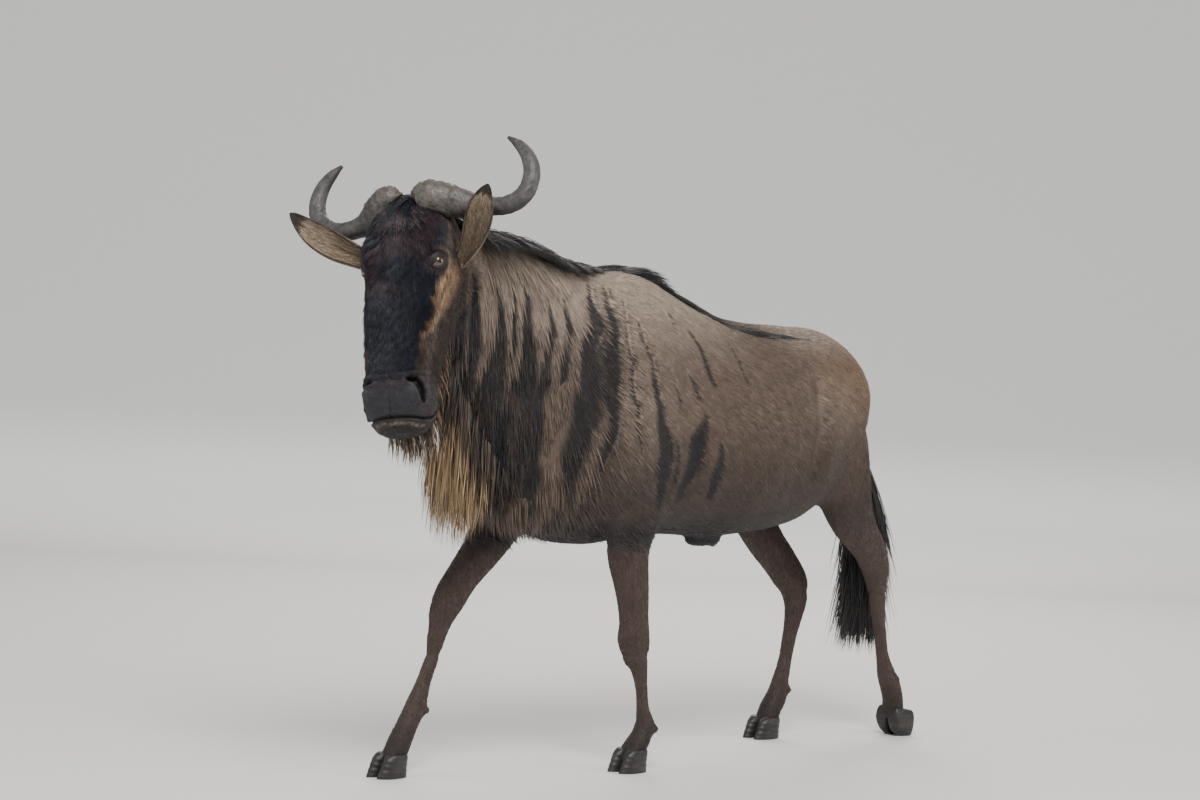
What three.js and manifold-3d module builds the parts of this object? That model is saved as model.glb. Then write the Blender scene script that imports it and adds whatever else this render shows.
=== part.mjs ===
// A wildebeest bull, life size, walking with its head turned to its left.
// Millimetres, +Z up. The animal faces -X and its left side is -Y.
// Stations are given from a point on the floor under the withers; the
// finished group is moved so that its box stands centred on the origin.

import * as THREE from 'three';
import Module from 'manifold-3d';

const wasm = await Module();
wasm.setup();

// Driving dimensions
const GAP = 0.3;
const WITHERS_HEIGHT = 1256;
const CROUP_HEIGHT = 1104;
const BRISKET_HEIGHT = 552;
const BARREL_HALF_WIDTH = 236;
const RUMP_END = 856;
const CHEST_FRONT = -392;
const HEAD_LENGTH = 540;
const EYE_RADIUS = 20;
const HOOF_HEIGHT = 56;
const CLAW_HALF_WIDTH = 20;
const DEG = Math.PI / 180;

// Colours, roughness and metalness
const FINISH = {
  coat: [0x6b5a4c, 0.85, 0],
  dark: [0x2b211d, 0.85, 0],
  face: [0x1f1d22, 0.8, 0],
  horn: [0x77716b, 0.6, 0],
  ear: [0x8d7359, 0.85, 0],
  eye: [0x1a0f0a, 0.15, 0],
  hoof: [0x2a2624, 0.5, 0],
  tail: [0x121012, 0.75, 0],
};

const group = new THREE.Group();

// Small vector helpers
const vec = (x, y, z) => new THREE.Vector3(x, y, z);
const mix = (a, b, t) => a + (b - a) * t;

// A repeatable random number between 0 and 1
function seeded(seed) {
  let state = seed;
  return () => {
    state = (state * 1664525 + 1013904223) % 4294967296;
    return state / 4294967296;
  };
}

// Rows of numbers, smoothly interpolated at `count` even steps of the row index
function smoothRows(rows, count) {
  const last = rows.length - 1;
  const row = (i) => rows[Math.min(Math.max(i, 0), last)];
  return Array.from({ length: count }, (_, k) => {
    const u = (k / (count - 1)) * last;
    const i = Math.min(Math.floor(u), last - 1);
    const t = u - i;
    return row(i).map((value, j) => {
      const [a, b, c, d] = [row(i - 1)[j], value, row(i + 1)[j], row(i + 2)[j]];
      const bend = (2 * a - 5 * b + 4 * c - d) * t * t + (3 * b - a - 3 * c + d) * t * t * t;
      return b + 0.5 * ((c - a) * t + bend);
    });
  });
}

// A cross-section: a centre, an up and a side direction, its reach up, down and
// sideways, and how square its upper and lower halves are (2 is an ellipse)
function sectionPoint(s, angle) {
  const c = Math.cos(angle);
  const q = Math.sin(angle);
  const power = 2 / (q >= 0 ? s.squareTop : s.squareBottom);
  const across = Math.sign(c) * Math.abs(c) ** power * s.half;
  const along = Math.sign(q) * Math.abs(q) ** power * (q >= 0 ? s.top : s.bottom);
  return s.centre.clone().addScaledVector(s.side, across).addScaledVector(s.up, along);
}

function ringOf(s, count, shape = null) {
  return Array.from({ length: count }, (_, i) => {
    const point = sectionPoint(s, (i / count) * 2 * Math.PI);
    return shape ? shape(point, s) : point;
  });
}

// Vertex normals of an indexed mesh, weighted by area
function pointNormals(points, faces) {
  const normals = points.map(() => vec(0, 0, 0));
  for (const [a, b, c] of faces) {
    const ab = points[b].clone().sub(points[a]);
    const ac = points[c].clone().sub(points[a]);
    const n = ab.cross(ac);
    for (const i of [a, b, c]) normals[i].add(n);
  }
  return normals.map((n) => n.normalize());
}

function signedVolume(points, faces) {
  return faces.reduce((sum, [a, b, c]) => {
    return sum + points[a].dot(points[b].clone().cross(points[c])) / 6;
  }, 0);
}

// A closed skin over a row of rings, its ends closed by fans, grown outward by `grow`
function loft(rings, grow = 0) {
  const n = rings[0].length;
  const points = rings.flat();
  const faces = [];
  for (let k = 0; k < rings.length - 1; k += 1) {
    for (let i = 0; i < n; i += 1) {
      const a = k * n + i;
      const b = k * n + ((i + 1) % n);
      faces.push([a, b, b + n], [a, b + n, a + n]);
    }
  }
  const middle = (ring) => {
    return ring.reduce((sum, p) => sum.add(p), vec(0, 0, 0)).divideScalar(n);
  };
  const start = points.push(middle(rings[0])) - 1;
  const end = points.push(middle(rings[rings.length - 1])) - 1;
  const lastRing = (rings.length - 1) * n;
  for (let i = 0; i < n; i += 1) {
    const j = (i + 1) % n;
    faces.push([start, j, i], [end, lastRing + i, lastRing + j]);
  }
  const outward = signedVolume(points, faces) < 0 ? faces.map(([a, b, c]) => [a, c, b]) : faces;
  const normals = pointNormals(points, outward);
  const moved = points.map((p, i) => p.clone().addScaledVector(normals[i], grow));
  return solidOf(moved, outward);
}

function solidOf(points, faces) {
  const vertProperties = new Float32Array(points.flatMap((p) => [p.x, p.y, p.z]));
  const triVerts = new Uint32Array(faces.flat());
  return new wasm.Manifold(new wasm.Mesh({ numProp: 3, vertProperties, triVerts }));
}

// A sphere stretched to three half sizes and turned, as a solid
function ellipsoid(centre, sizes, turn = new THREE.Quaternion(), across = 16) {
  const rings = [];
  const rows = across / 2;
  for (let k = 1; k < rows; k += 1) {
    const polar = (k / rows) * Math.PI;
    rings.push(Array.from({ length: across }, (_, i) => {
      const a = (i / across) * 2 * Math.PI;
      const p = vec(Math.sin(polar) * Math.cos(a), Math.sin(polar) * Math.sin(a), Math.cos(polar));
      return p.multiply(sizes).applyQuaternion(turn).add(centre);
    }));
  }
  return loft(rings);
}

// The piece of the largest volume
function largest(solid) {
  return solid.decompose().reduce((best, piece) => {
    return piece.volume() > best.volume() ? piece : best;
  });
}

// Cuts by a plane through a point, keeping the side that `towards` points to
function trimmed(solid, point, towards) {
  const n = towards.clone().normalize();
  return solid.trimByPlane([n.x, n.y, n.z], n.dot(point) + GAP / 2);
}

function addNode(name, solid, finish) {
  const mesh = largest(solid).getMesh();
  const geometry = new THREE.BufferGeometry();
  geometry.setAttribute('position', new THREE.BufferAttribute(mesh.vertProperties, 3));
  geometry.setIndex(new THREE.BufferAttribute(mesh.triVerts, 1));
  geometry.computeVertexNormals();
  const [color, roughness, metalness] = FINISH[finish];
  const node = new THREE.Mesh(
    geometry,
    new THREE.MeshStandardMaterial({ color, roughness, metalness }),
  );
  node.name = name;
  group.add(node);
}

// Trunk: distance back, top, underside, half width, height of the widest place
const TRUNK_ROWS = [
  [CHEST_FRONT, 800, 640, 60, 0.5],
  [-372, 900, 620, 112, 0.48],
  [-300, 1080, 588, 160, 0.46],
  [-210, 1216, 562, 186, 0.46],
  [-110, 1246, BRISKET_HEIGHT, 198, 0.47],
  [0, WITHERS_HEIGHT - 4, 560, 204, 0.46],
  [100, 1214, 568, 213, 0.44],
  [200, 1172, 566, 226, 0.43],
  [300, 1136, 556, 234, 0.42],
  [400, 1117, 558, BARREL_HALF_WIDTH, 0.42],
  [500, 1107, 566, 233, 0.43],
  [600, CROUP_HEIGHT, 586, 222, 0.45],
  [690, 1099, 628, 203, 0.5],
  [765, 1078, 700, 163, 0.55],
  [815, 1040, 780, 121, 0.55],
  [842, 998, 850, 76, 0.5],
  [RUMP_END, 950, 890, 34, 0.5],
];

// Muscle masses that swell the trunk: centre on its side, reach and rise
const SWELLINGS = [
  { at: [-150, 175, 820], reach: 130, rise: 22 },
  { at: [-20, 190, 1010], reach: 120, rise: 10 },
  { at: [20, 180, 690], reach: 110, rise: 12 },
  { at: [760, 170, 860], reach: 150, rise: 13 },
  { at: [620, 150, 1030], reach: 70, rise: 10 },
  { at: [560, 215, 960], reach: 90, rise: -18 },
  { at: [150, 220, 1000], reach: 110, rise: -10 },
];

function swell(point, section) {
  let rise = 0;
  for (const { at, reach, rise: height } of SWELLINGS) {
    const [x, y, z] = at;
    const away = Math.hypot(point.x - x, Math.abs(point.y) - y, point.z - z) / reach;
    rise += height * Math.exp(-away * away);
  }
  const outward = point.clone().sub(section.centre).normalize();
  return point.addScaledVector(outward, rise);
}

function trunkSection([x, top, underside, half, widest]) {
  const centre = vec(x, 0, mix(underside, top, widest));
  return {
    centre,
    up: vec(0, 0, 1),
    side: vec(0, 1, 0),
    top: top - centre.z,
    bottom: centre.z - underside,
    half,
    squareTop: 1.85,
    squareBottom: 2.1,
  };
}

function trunkLoft(grow = 0) {
  const sections = smoothRows(TRUNK_ROWS, 30).map(trunkSection);
  return loft(sections.map((s) => ringOf(s, 30, swell)), grow);
}

// Neck: centre x, y, z, lean of the section in degrees, reach up and down, half width
const NECK_ROWS = [
  [-180, 0, 900, 5, 335, 320, 160],
  [-300, -6, 960, 15, 305, 300, 152],
  [-420, -22, 1050, 25, 247, 232, 128],
  [-540, -42, 1140, 33, 192, 176, 104],
  [-640, -58, 1225, 38, 125, 140, 90],
  [-700, -64, 1275, 40, 84, 106, 78],
];

function neckSection([x, y, z, lean, top, bottom, half]) {
  return {
    centre: vec(x, y, z),
    up: vec(Math.sin(lean * DEG), 0, Math.cos(lean * DEG)),
    side: vec(0, 1, 0),
    top,
    bottom,
    half,
    squareTop: 1.7,
    squareBottom: 1.9,
  };
}

function neckLoft(grow = 0) {
  const sections = smoothRows(NECK_ROWS, 12).map(neckSection);
  return loft(sections.map((s) => ringOf(s, 26)), grow);
}

// Head: built level, facing -X with the poll at the origin, then turned
const HEAD_PLACE = vec(-788, -66, 1376);
const HEAD_YAW = 18;
const HEAD_PITCH = 70;
const HEAD_ROLL = 8.5;

function headTurn() {
  const yaw = new THREE.Quaternion().setFromAxisAngle(vec(0, 0, 1), HEAD_YAW * DEG);
  const roll = new THREE.Quaternion().setFromAxisAngle(vec(1, 0, 0), -HEAD_ROLL * DEG);
  const pitch = new THREE.Quaternion().setFromAxisAngle(vec(0, 1, 0), -HEAD_PITCH * DEG);
  return yaw.multiply(roll).multiply(pitch);
}

const HEAD_TURN = headTurn();

function onHead(x, y, z) {
  return vec(x, y, z).applyQuaternion(HEAD_TURN).add(HEAD_PLACE);
}

function headDirection(x, y, z) {
  return vec(x, y, z).applyQuaternion(HEAD_TURN);
}

// Head: distance from the poll towards the nose, top, underside, half width,
// height of the widest place, squareness of the upper and lower half
const HEAD_ROWS = [
  [-32, -20, -90, 50, 0.5, 2.2, 2],
  [-10, 12, -140, 78, 0.55, 2.5, 2],
  [40, 24, -188, 98, 0.64, 2.9, 2],
  [100, 27, -212, 106, 0.68, 3.2, 1.9],
  [160, 22, -214, 106, 0.7, 3.2, 1.8],
  [220, 14, -200, 103, 0.68, 3.3, 1.8],
  [285, 8, -174, 97, 0.66, 3.3, 2],
  [350, 4, -150, 90, 0.62, 3.2, 2.1],
  [410, 2, -136, 84, 0.56, 3, 2.3],
  [460, -2, -130, 85, 0.5, 2.8, 2.4],
  [500, -14, -126, 81, 0.48, 2.6, 2.4],
  [528, -32, -116, 63, 0.46, 2.4, 2.2],
  [HEAD_LENGTH, -54, -98, 36, 0.46, 2, 2],
];

function headSection([s, top, underside, half, widest, squareTop, squareBottom]) {
  const z = mix(underside, top, widest);
  return {
    centre: onHead(-s, 0, z),
    up: headDirection(0, 0, 1),
    side: headDirection(0, 1, 0),
    top: top - z,
    bottom: z - underside,
    half,
    squareTop,
    squareBottom,
  };
}

function headLoft(grow = 0) {
  const sections = smoothRows(HEAD_ROWS, 25).map(headSection);
  return loft(sections.map((s) => ringOf(s, 24)), grow);
}

const EYE_PLACE = { x: -148, y: 89, z: -14 };

function eyeCentre(side) {
  return onHead(EYE_PLACE.x, side * EYE_PLACE.y, EYE_PLACE.z);
}

function eyeball(side, extra = 0) {
  const r = EYE_RADIUS + extra;
  return ellipsoid(eyeCentre(side), vec(r, r, r), HEAD_TURN, 12);
}

// The lids: a mound round the eye with an almond opening cut in it
function lidMound(side) {
  return ellipsoid(eyeCentre(side), vec(38, 25.5, 31), HEAD_TURN, 12);
}

function lidOpening(side) {
  const centre = onHead(EYE_PLACE.x - 1, side * (EYE_PLACE.y + EYE_RADIUS), EYE_PLACE.z + 2);
  const tilt = new THREE.Quaternion().setFromAxisAngle(vec(0, 1, 0), 18 * DEG);
  return ellipsoid(centre, vec(17, 12, 9.5), HEAD_TURN.clone().multiply(tilt), 10);
}

// The nostrils are slanted commas on the sides of the muzzle
function nostril(side) {
  const tilt = new THREE.Quaternion().setFromAxisAngle(vec(0, 1, 0), 35 * DEG);
  const turn = HEAD_TURN.clone().multiply(tilt);
  return ellipsoid(onHead(-455, side * 74, -17), vec(29, 15, 11), turn, 10);
}

// The line of the mouth: x and z from the front of the lips back to the corners,
// with half the opening's width
const MOUTH_ROWS = [
  [-517, 2, 3], [-514, -20, 3], [-513, -50, 2.6],
  [-503, -74, 2.2], [-482, -88, 1.8], [-448, -96, 1.2],
];
const MOUTH_REACH = 96;

function mouthCut() {
  const rings = MOUTH_ROWS.map(([x, z, open], i) => {
    const before = MOUTH_ROWS[Math.max(i - 1, 0)];
    const after = MOUTH_ROWS[Math.min(i + 1, MOUTH_ROWS.length - 1)];
    const run = Math.hypot(after[0] - before[0], after[1] - before[1]);
    const [dx, dz] = [(after[1] - before[1]) * open / run, (before[0] - after[0]) * open / run];
    return [[1, 1], [-1, 1], [-1, -1], [1, -1]].map(([side, face]) => {
      return onHead(x + face * dx, side * MOUTH_REACH, z + face * dz);
    });
  });
  return loft(rings);
}

function headSolid() {
  let head = headLoft();
  for (const side of [-1, 1]) {
    head = head.add(lidMound(side)).subtract(lidOpening(side));
    head = head.subtract(eyeball(side, GAP)).subtract(nostril(side));
  }
  return head.subtract(mouthCut());
}

// Horn: x, y, z on the head and radius, from the boss to the tip
const HORN_ROWS = [
  [9, 25, -2, 17],
  [12, 34, -2, 33],
  [10, 60, -8, 41],
  [0, 102, -32, 37],
  [-22, 150, -46, 27],
  [-35, 200, -36, 22.5],
  [-25, 242, -32, 22],
  [2, 274, -30, 21.5],
  [44, 284, -30, 20.5],
  [84, 273, -30, 18],
  [116, 249, -30, 13],
  [138, 220, -30, 4],
];

// How far each horn reaches outward and upward against the rows above, and how much
// its lowest part is raised
const HORN_REACH = {
  left: { out: 1.1, up: 1.06, raise: 18 },
  right: { out: 0.92, up: 0.95, raise: 0 },
};
const HORN_BEND = { at: 178, reach: 62 };

// Rings square to the path through a row of points, carrying one side direction
function sweep(places, radii, count, flat = 1) {
  const rings = [];
  let side = null;
  for (let i = 0; i < places.length; i += 1) {
    const before = places[Math.max(i - 1, 0)];
    const after = places[Math.min(i + 1, places.length - 1)];
    const along = after.clone().sub(before).normalize();
    const start = side ?? (Math.abs(along.z) < 0.9 ? vec(0, 0, 1) : vec(0, 1, 0));
    side = start.clone().addScaledVector(along, -start.dot(along)).normalize();
    const up = along.clone().cross(side);
    const section = {
      centre: places[i], up, side, top: radii[i] * flat, bottom: radii[i] * flat,
      half: radii[i], squareTop: 2, squareBottom: 2,
    };
    rings.push(ringOf(section, count));
  }
  return rings;
}

function hornLoft(side, { out, up, raise }, grow = 0) {
  const rows = smoothRows(HORN_ROWS, 20);
  const places = rows.map(([x, y, z]) => {
    const nearBend = Math.exp(-(((y - HORN_BEND.at) / HORN_BEND.reach) ** 2));
    const height = (x > 0 ? x * up : x) + raise * (x > 40 ? 0 : nearBend);
    return onHead(height, side * out * y, z);
  });
  return loft(sweep(places, rows.map((row) => row[3]), 12, 0.92), grow);
}

// Ear: a leaf-shaped cup along a path from its root to its tip, open towards `open`
const EAR_THICKNESS = 7;
const EARS = {
  left: {
    path: [[-128, -98, -92], [-96, -152, -52], [-66, -194, -6], [-34, -220, 26], [6, -238, 34]],
    open: [-0.15, -0.5, 1],
    half: 38,
  },
  right: {
    path: [[-118, 94, -84], [-104, 140, -34], [-86, 184, 8], [-50, 240, 32], [-2, 294, 34]],
    open: [-0.2, 0.2, 1],
    half: 39,
  },
};

function earSolid({ path, open, half }) {
  const steps = 11;
  const arcs = 8;
  const places = smoothRows(path, steps).map((place) => onHead(...place));
  const rings = places.map((centre, k) => {
    const along = places[Math.min(k + 1, steps - 1)].clone().sub(places[Math.max(k - 1, 0)]);
    along.normalize();
    const facing = headDirection(...open);
    facing.addScaledVector(along, -facing.dot(along)).normalize();
    const across = along.clone().cross(facing);
    const t = k / (steps - 1);
    const width = half * (0.42 + 0.58 * Math.sin(Math.min(t * 1.9, 1.57))) * (1 - t ** 4) + 2.5;
    const depth = width * mix(0.95, 0.25, t);
    const shell = EAR_THICKNESS * mix(1.3, 0.45, t);
    const arc = (inset) => Array.from({ length: arcs }, (_unused, i) => {
      const a = mix(-1.45, 1.45, i / (arcs - 1));
      const out = (width - inset) * Math.sin(a);
      const back = -(depth - inset) * Math.cos(a);
      return centre.clone().addScaledVector(across, out).addScaledVector(facing, back);
    });
    return [...arc(0), ...arc(Math.min(shell, width * 0.6)).reverse()];
  });
  return loft(rings);
}

// Legs: x, y, z, half depth fore and aft, half width; from the body to the fetlock.
// `cuts` are the heights where the upper leg meets the cannon and the cannon the
// pastern, `foot` places the hooves and says how far the heel is raised.
const LEGS = {
  front_left: {
    rows: [
      [0, -112, 740, 92, 46], [-36, -120, 640, 78, 48], [-64, -126, 560, 64, 46],
      [-52, -130, 470, 50, 38], [-36, -128, 385, 42, 33], [-30, -127, 330, 42, 37],
      [-24, -127, 290, 37, 34], [-8, -127, 255, 24, 24], [4, -127, 205, 19, 17],
      [12, -127, 150, 20, 18], [20, -127, 112, 29, 24], [8, -127, 82, 27, 29],
      [-16, -127, 52, 29, 34], [-30, -127, 20, 30, 34],
    ],
    cuts: [352, 136],
    foot: { x: -30, y: -127, z: 0, pitch: 0 },
  },
  front_right: {
    rows: [
      [-120, 116, 760, 100, 66], [-176, 120, 690, 90, 62], [-248, 122, 625, 70, 55],
      [-315, 122, 545, 54, 46], [-382, 120, 480, 46, 38], [-425, 120, 425, 44, 37],
      [-449, 120, 385, 36, 33], [-459, 120, 345, 25, 26], [-474, 120, 290, 21, 19],
      [-500, 120, 225, 21, 19], [-525, 120, 165, 29, 25], [-546, 120, 128, 28, 27],
      [-572, 120, 82, 29, 32], [-598, 120, 30, 30, 34],
    ],
    cuts: [452, 190],
    foot: { x: -604, y: 120, z: 0, pitch: 0 },
  },
  hind_left: {
    rows: [
      [732, -96, 900, 74, 48], [727, -110, 820, 94, 60], [733, -122, 715, 99, 61],
      [765, -122, 625, 77, 54], [826, -108, 565, 58, 42], [885, -96, 517, 52, 36],
      [922, -88, 468, 45, 33], [938, -84, 420, 31, 28], [950, -81, 350, 22, 23],
      [968, -79, 285, 20, 20], [984, -78, 220, 20, 20], [1003, -77, 170, 28, 25],
      [1024, -76, 134, 31, 28], [1038, -75, 98, 28, 31], [1040, -74, 44, 28, 34],
    ],
    cuts: [442, 190],
    foot: { x: 1108, y: -74, z: -6, pitch: -80 },
  },
  hind_right: {
    rows: [
      [700, 98, 860, 84, 52], [668, 110, 760, 104, 60], [646, 116, 680, 94, 60],
      [655, 118, 600, 70, 52], [690, 106, 530, 56, 44], [742, 94, 470, 52, 38],
      [786, 86, 412, 50, 35], [799, 82, 368, 38, 31], [794, 80, 322, 27, 26],
      [781, 80, 262, 22, 21], [768, 80, 200, 21, 21], [750, 80, 140, 27, 24],
      [738, 80, 104, 32, 28], [716, 80, 74, 30, 32], [698, 80, 30, 30, 34],
    ],
    cuts: [384, 160],
    foot: { x: 690, y: 80, z: 0, pitch: 0 },
  },
};

function legSections(rows) {
  const fine = smoothRows(rows, 23);
  return fine.map(([x, y, z, fore, half], i) => {
    const before = fine[Math.max(i - 1, 0)];
    const after = fine[Math.min(i + 1, fine.length - 1)];
    const along = vec(after[0] - before[0], 0, after[2] - before[2]).normalize();
    return {
      centre: vec(x, y, z),
      up: vec(along.z, 0, -along.x),
      side: vec(0, 1, 0),
      top: fore,
      bottom: fore,
      half,
      squareTop: 2.1,
      squareBottom: 2.1,
    };
  });
}

function legLoft(rows) {
  return loft(legSections(rows).map((s) => ringOf(s, 12)));
}

// The leg's centre and direction at a height, for cutting square to it
function legCut(rows, height) {
  const sections = legSections(rows);
  const i = sections.findIndex((s) => s.centre.z < height);
  const along = sections[i].centre.clone().sub(sections[i - 1].centre).normalize();
  const t = (sections[i - 1].centre.z - height) / (sections[i - 1].centre.z - sections[i].centre.z);
  return { point: sections[i - 1].centre.clone().lerp(sections[i].centre, t), along };
}

// One claw: rings from the coronet down to a flat sole
const TOE = -44;
const CLAW_ROWS = [
  [8, HOOF_HEIGHT - GAP / 2, 27, 17],
  [2, 44, 34, 19],
  [-4, 24, 39, CLAW_HALF_WIDTH],
  [-9, 0, 43, CLAW_HALF_WIDTH],
  [-10, -14, 43, CLAW_HALF_WIDTH - 1],
];

// Places a point of the level foot: turned about the toe, then set down
function onFoot({ x, y, z, pitch }, point) {
  const turn = new THREE.Quaternion().setFromAxisAngle(vec(0, 1, 0), pitch * DEG);
  return point.sub(vec(TOE, 0, 0)).applyQuaternion(turn).add(vec(x + TOE, y, z));
}

function clawSolid(foot, side) {
  const rings = CLAW_ROWS.map(([dx, z, fore, half]) => {
    const section = {
      centre: vec(dx, side * (CLAW_HALF_WIDTH + 1), z), up: vec(-1, 0, 0), side: vec(0, 1, 0),
      top: fore, bottom: fore, half, squareTop: 2, squareBottom: 2.4,
    };
    return ringOf(section, 12).map((p) => onFoot(foot, p));
  });
  return loft(rings).trimByPlane([0, 0, 1], 0);
}

function dewclaw(place, side) {
  const centre = vec(place.x + 26, place.y + side * 15, place.z - 8);
  return ellipsoid(centre, vec(14, 8, 12), new THREE.Quaternion(), 6);
}

function addLeg(name, leg, body) {
  const whole = legLoft(leg.rows);
  const [kneeHeight, fetlockHeight] = leg.cuts;
  const knee = legCut(leg.rows, kneeHeight);
  const fetlock = legCut(leg.rows, fetlockHeight);
  const upper = trimmed(whole.subtract(body), knee.point, knee.along.clone().negate());
  const below = trimmed(whole, knee.point, knee.along);
  const cannon = trimmed(below, fetlock.point, fetlock.along.clone().negate());
  const joint = legCut(leg.rows, fetlockHeight - 26).point;
  const dewclaws = dewclaw(joint, -1).add(dewclaw(joint, 1));
  const foot = trimmed(below.add(dewclaws), fetlock.point, fetlock.along);
  const coronet = onFoot(leg.foot, vec(0, 0, HOOF_HEIGHT));
  const upward = onFoot(leg.foot, vec(0, 0, HOOF_HEIGHT + 1)).sub(coronet);
  addNode(`leg_${name}_upper`, upper, 'dark');
  addNode(`leg_${name}_cannon`, cannon, 'dark');
  addNode(`leg_${name}_pastern`, trimmed(foot, coronet, upward), 'dark');
  addNode(`hoof_${name}_left`, clawSolid(leg.foot, -1), 'hoof');
  addNode(`hoof_${name}_right`, clawSolid(leg.foot, 1), 'hoof');
}

// Tail: x, y, z, half width; the dock hangs down behind the rump
const DOCK_ROWS = [
  [826, 0, 996, 32], [868, -2, 958, 29], [906, -4, 890, 24], [932, -5, 810, 20],
  [950, -6, 730, 18], [960, -6, 660, 16],
];

const TAIL_CUT = vec(0, 0, 688);

function tailLoft(rows, count) {
  const fine = smoothRows(rows, count);
  const places = fine.map(([x, y, z]) => vec(x, y, z));
  return loft(sweep(places, fine.map((row) => row[3]), 12, 0.6));
}

// Fine rows of sections that hair is rooted on
const NECK_SURFACE = smoothRows(NECK_ROWS, 101).map(neckSection);
const TRUNK_SURFACE = smoothRows(TRUNK_ROWS, 101).map(trunkSection);

// A lock of hair: a flat, tapered strand that leaves its root along `start` and bends
// until it points along `end`; a larger `blunt` keeps it wide nearer to its tip
const LOCK_ROOT = 0.75;
const LOCK_TIP = 0.07;
const LOCK_BENT_BY = 0.77;

function lock({ root, start, end, across, length, width, thick, steps = 3, blunt = 2.2 }) {
  const rings = [];
  const place = root.clone();
  for (let k = 0; k <= steps; k += 1) {
    const t = k / steps;
    const along = start.clone().lerp(end, Math.min(1, t / LOCK_BENT_BY)).normalize();
    if (k > 0) place.addScaledVector(along, length / steps);
    const side = across.clone().addScaledVector(along, -across.dot(along)).normalize();
    const up = along.clone().cross(side);
    const taper = mix(LOCK_ROOT, 1, Math.min(1, t * steps)) * (1 - (1 - LOCK_TIP) * t ** blunt);
    const a = side.multiplyScalar(width * taper / 2);
    const b = up.multiplyScalar(thick * taper / 2);
    rings.push([a, b, a.clone().negate(), b.clone().negate()].map((p) => p.clone().add(place)));
  }
  return loft(rings);
}

function joined(solids) {
  return wasm.Manifold.union(solids);
}

// A point on a lofted surface with its outward direction
function surfaceAt(sections, u, angle, shape = null) {
  const section = sections[Math.round(u * (sections.length - 1))];
  const bare = sectionPoint(section, angle * DEG);
  const point = shape ? shape(bare, section) : bare;
  return { point, outward: point.clone().sub(section.centre).normalize() };
}

// Mane: locks in pairs along the crest of the neck and the withers, lying back. It runs
// along the neck for the share `onNeck` of its length and on the back falls to the left.
const MANE = {
  pairs: 11,
  onNeck: 0.56,
  neck: [0.86, 0.12],
  back: [0.24, 0.56],
  parting: 9,
  fallen: 14,
  length: [200, 120],
  width: [46, 34],
  thick: 20,
  sink: 9,
  lift: [0.45, 0.2],
  droop: [-0.12, -0.3],
  uneven: 0.15,
};

function maneRoot(t, side) {
  const fallen = MANE.fallen * Math.min(1, Math.max(0, (t - 0.4) / 0.3));
  const tilt = 90 + fallen - side * MANE.parting;
  if (t < MANE.onNeck) return surfaceAt(NECK_SURFACE, mix(...MANE.neck, t / MANE.onNeck), tilt);
  const u = mix(...MANE.back, (t - MANE.onNeck) / (1 - MANE.onNeck));
  return surfaceAt(TRUNK_SURFACE, u, tilt, swell);
}

function maneLocks() {
  const random = seeded(11);
  const locks = [];
  for (let k = 0; k < MANE.pairs; k += 1) {
    for (const side of [-1, 1]) {
      const t = (k + 0.3 + 0.25 * side) / MANE.pairs;
      const { point, outward } = maneRoot(t, side);
      const next = maneRoot(Math.min(t + 0.06, 0.999), side).point;
      const lie = next.sub(point).normalize();
      const outer = vec(0, side, 0);
      const lift = mix(...MANE.lift, t) + MANE.uneven * random();
      const end = lie.clone().addScaledVector(outer, 0.1 + 0.25 * random());
      locks.push(lock({
        root: point.addScaledVector(outward, -MANE.sink),
        start: lie.clone().addScaledVector(outward, lift).normalize(),
        end: end.addScaledVector(outward, mix(...MANE.droop, t)).normalize(),
        across: outer,
        length: mix(...MANE.length, t) * mix(0.85, 1.15, random()),
        width: mix(...MANE.width, t),
        thick: MANE.thick,
      }));
    }
  }
  return joined(locks);
}

// Beard: rows of three long locks that hang from the throat and the underside of the
// neck. `lengths` runs from the front of the throat to the foot of the neck.
const BEARD = {
  lengths: [110, 200, 340, 412, 366, 335, 272, 165, 75, 60],
  neck: [0.8, 0.16],
  spread: 15,
  width: 50,
  thick: 16,
  sink: 14,
  outer: 0.85,
  uneven: 0.04,
  blunt: 3.4,
};

function beardLocks() {
  const random = seeded(23);
  const locks = [];
  BEARD.lengths.forEach((length, k) => {
    for (const column of [-1, 0, 1]) {
      const outer = Math.abs(column);
      const t = (k + 0.3 * random() + 0.3 * outer) / (BEARD.lengths.length - 0.3);
      const angle = 270 + column * BEARD.spread + 8 * (random() - 0.5);
      const { point, outward } = surfaceAt(NECK_SURFACE, mix(...BEARD.neck, t), angle);
      const lean = BEARD.uneven * (random() - 0.4);
      const fall = vec(-lean, BEARD.uneven * (random() - 0.5), -1).normalize();
      locks.push(lock({
        root: point.addScaledVector(outward, -BEARD.sink),
        start: outward.clone().lerp(fall, 0.35).normalize(),
        end: fall,
        across: vec(0.8, 0.6 * (column || 1), 0),
        length: length * mix(1, BEARD.outer, outer) * mix(0.9, 1.06, random()),
        width: BEARD.width * mix(0.85, 1.15, random()),
        thick: BEARD.thick,
        blunt: BEARD.blunt,
      }));
    }
  });
  return joined(locks);
}

// Chin: short locks under the lips and along the jaw, from the front to the back
const CHIN = {
  rows: 5,
  from: [514, 330],
  height: [-114, -160],
  apart: [20, 30],
  length: [78, 96],
  width: 36,
  thick: 13,
  uneven: 0.12,
};

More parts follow.
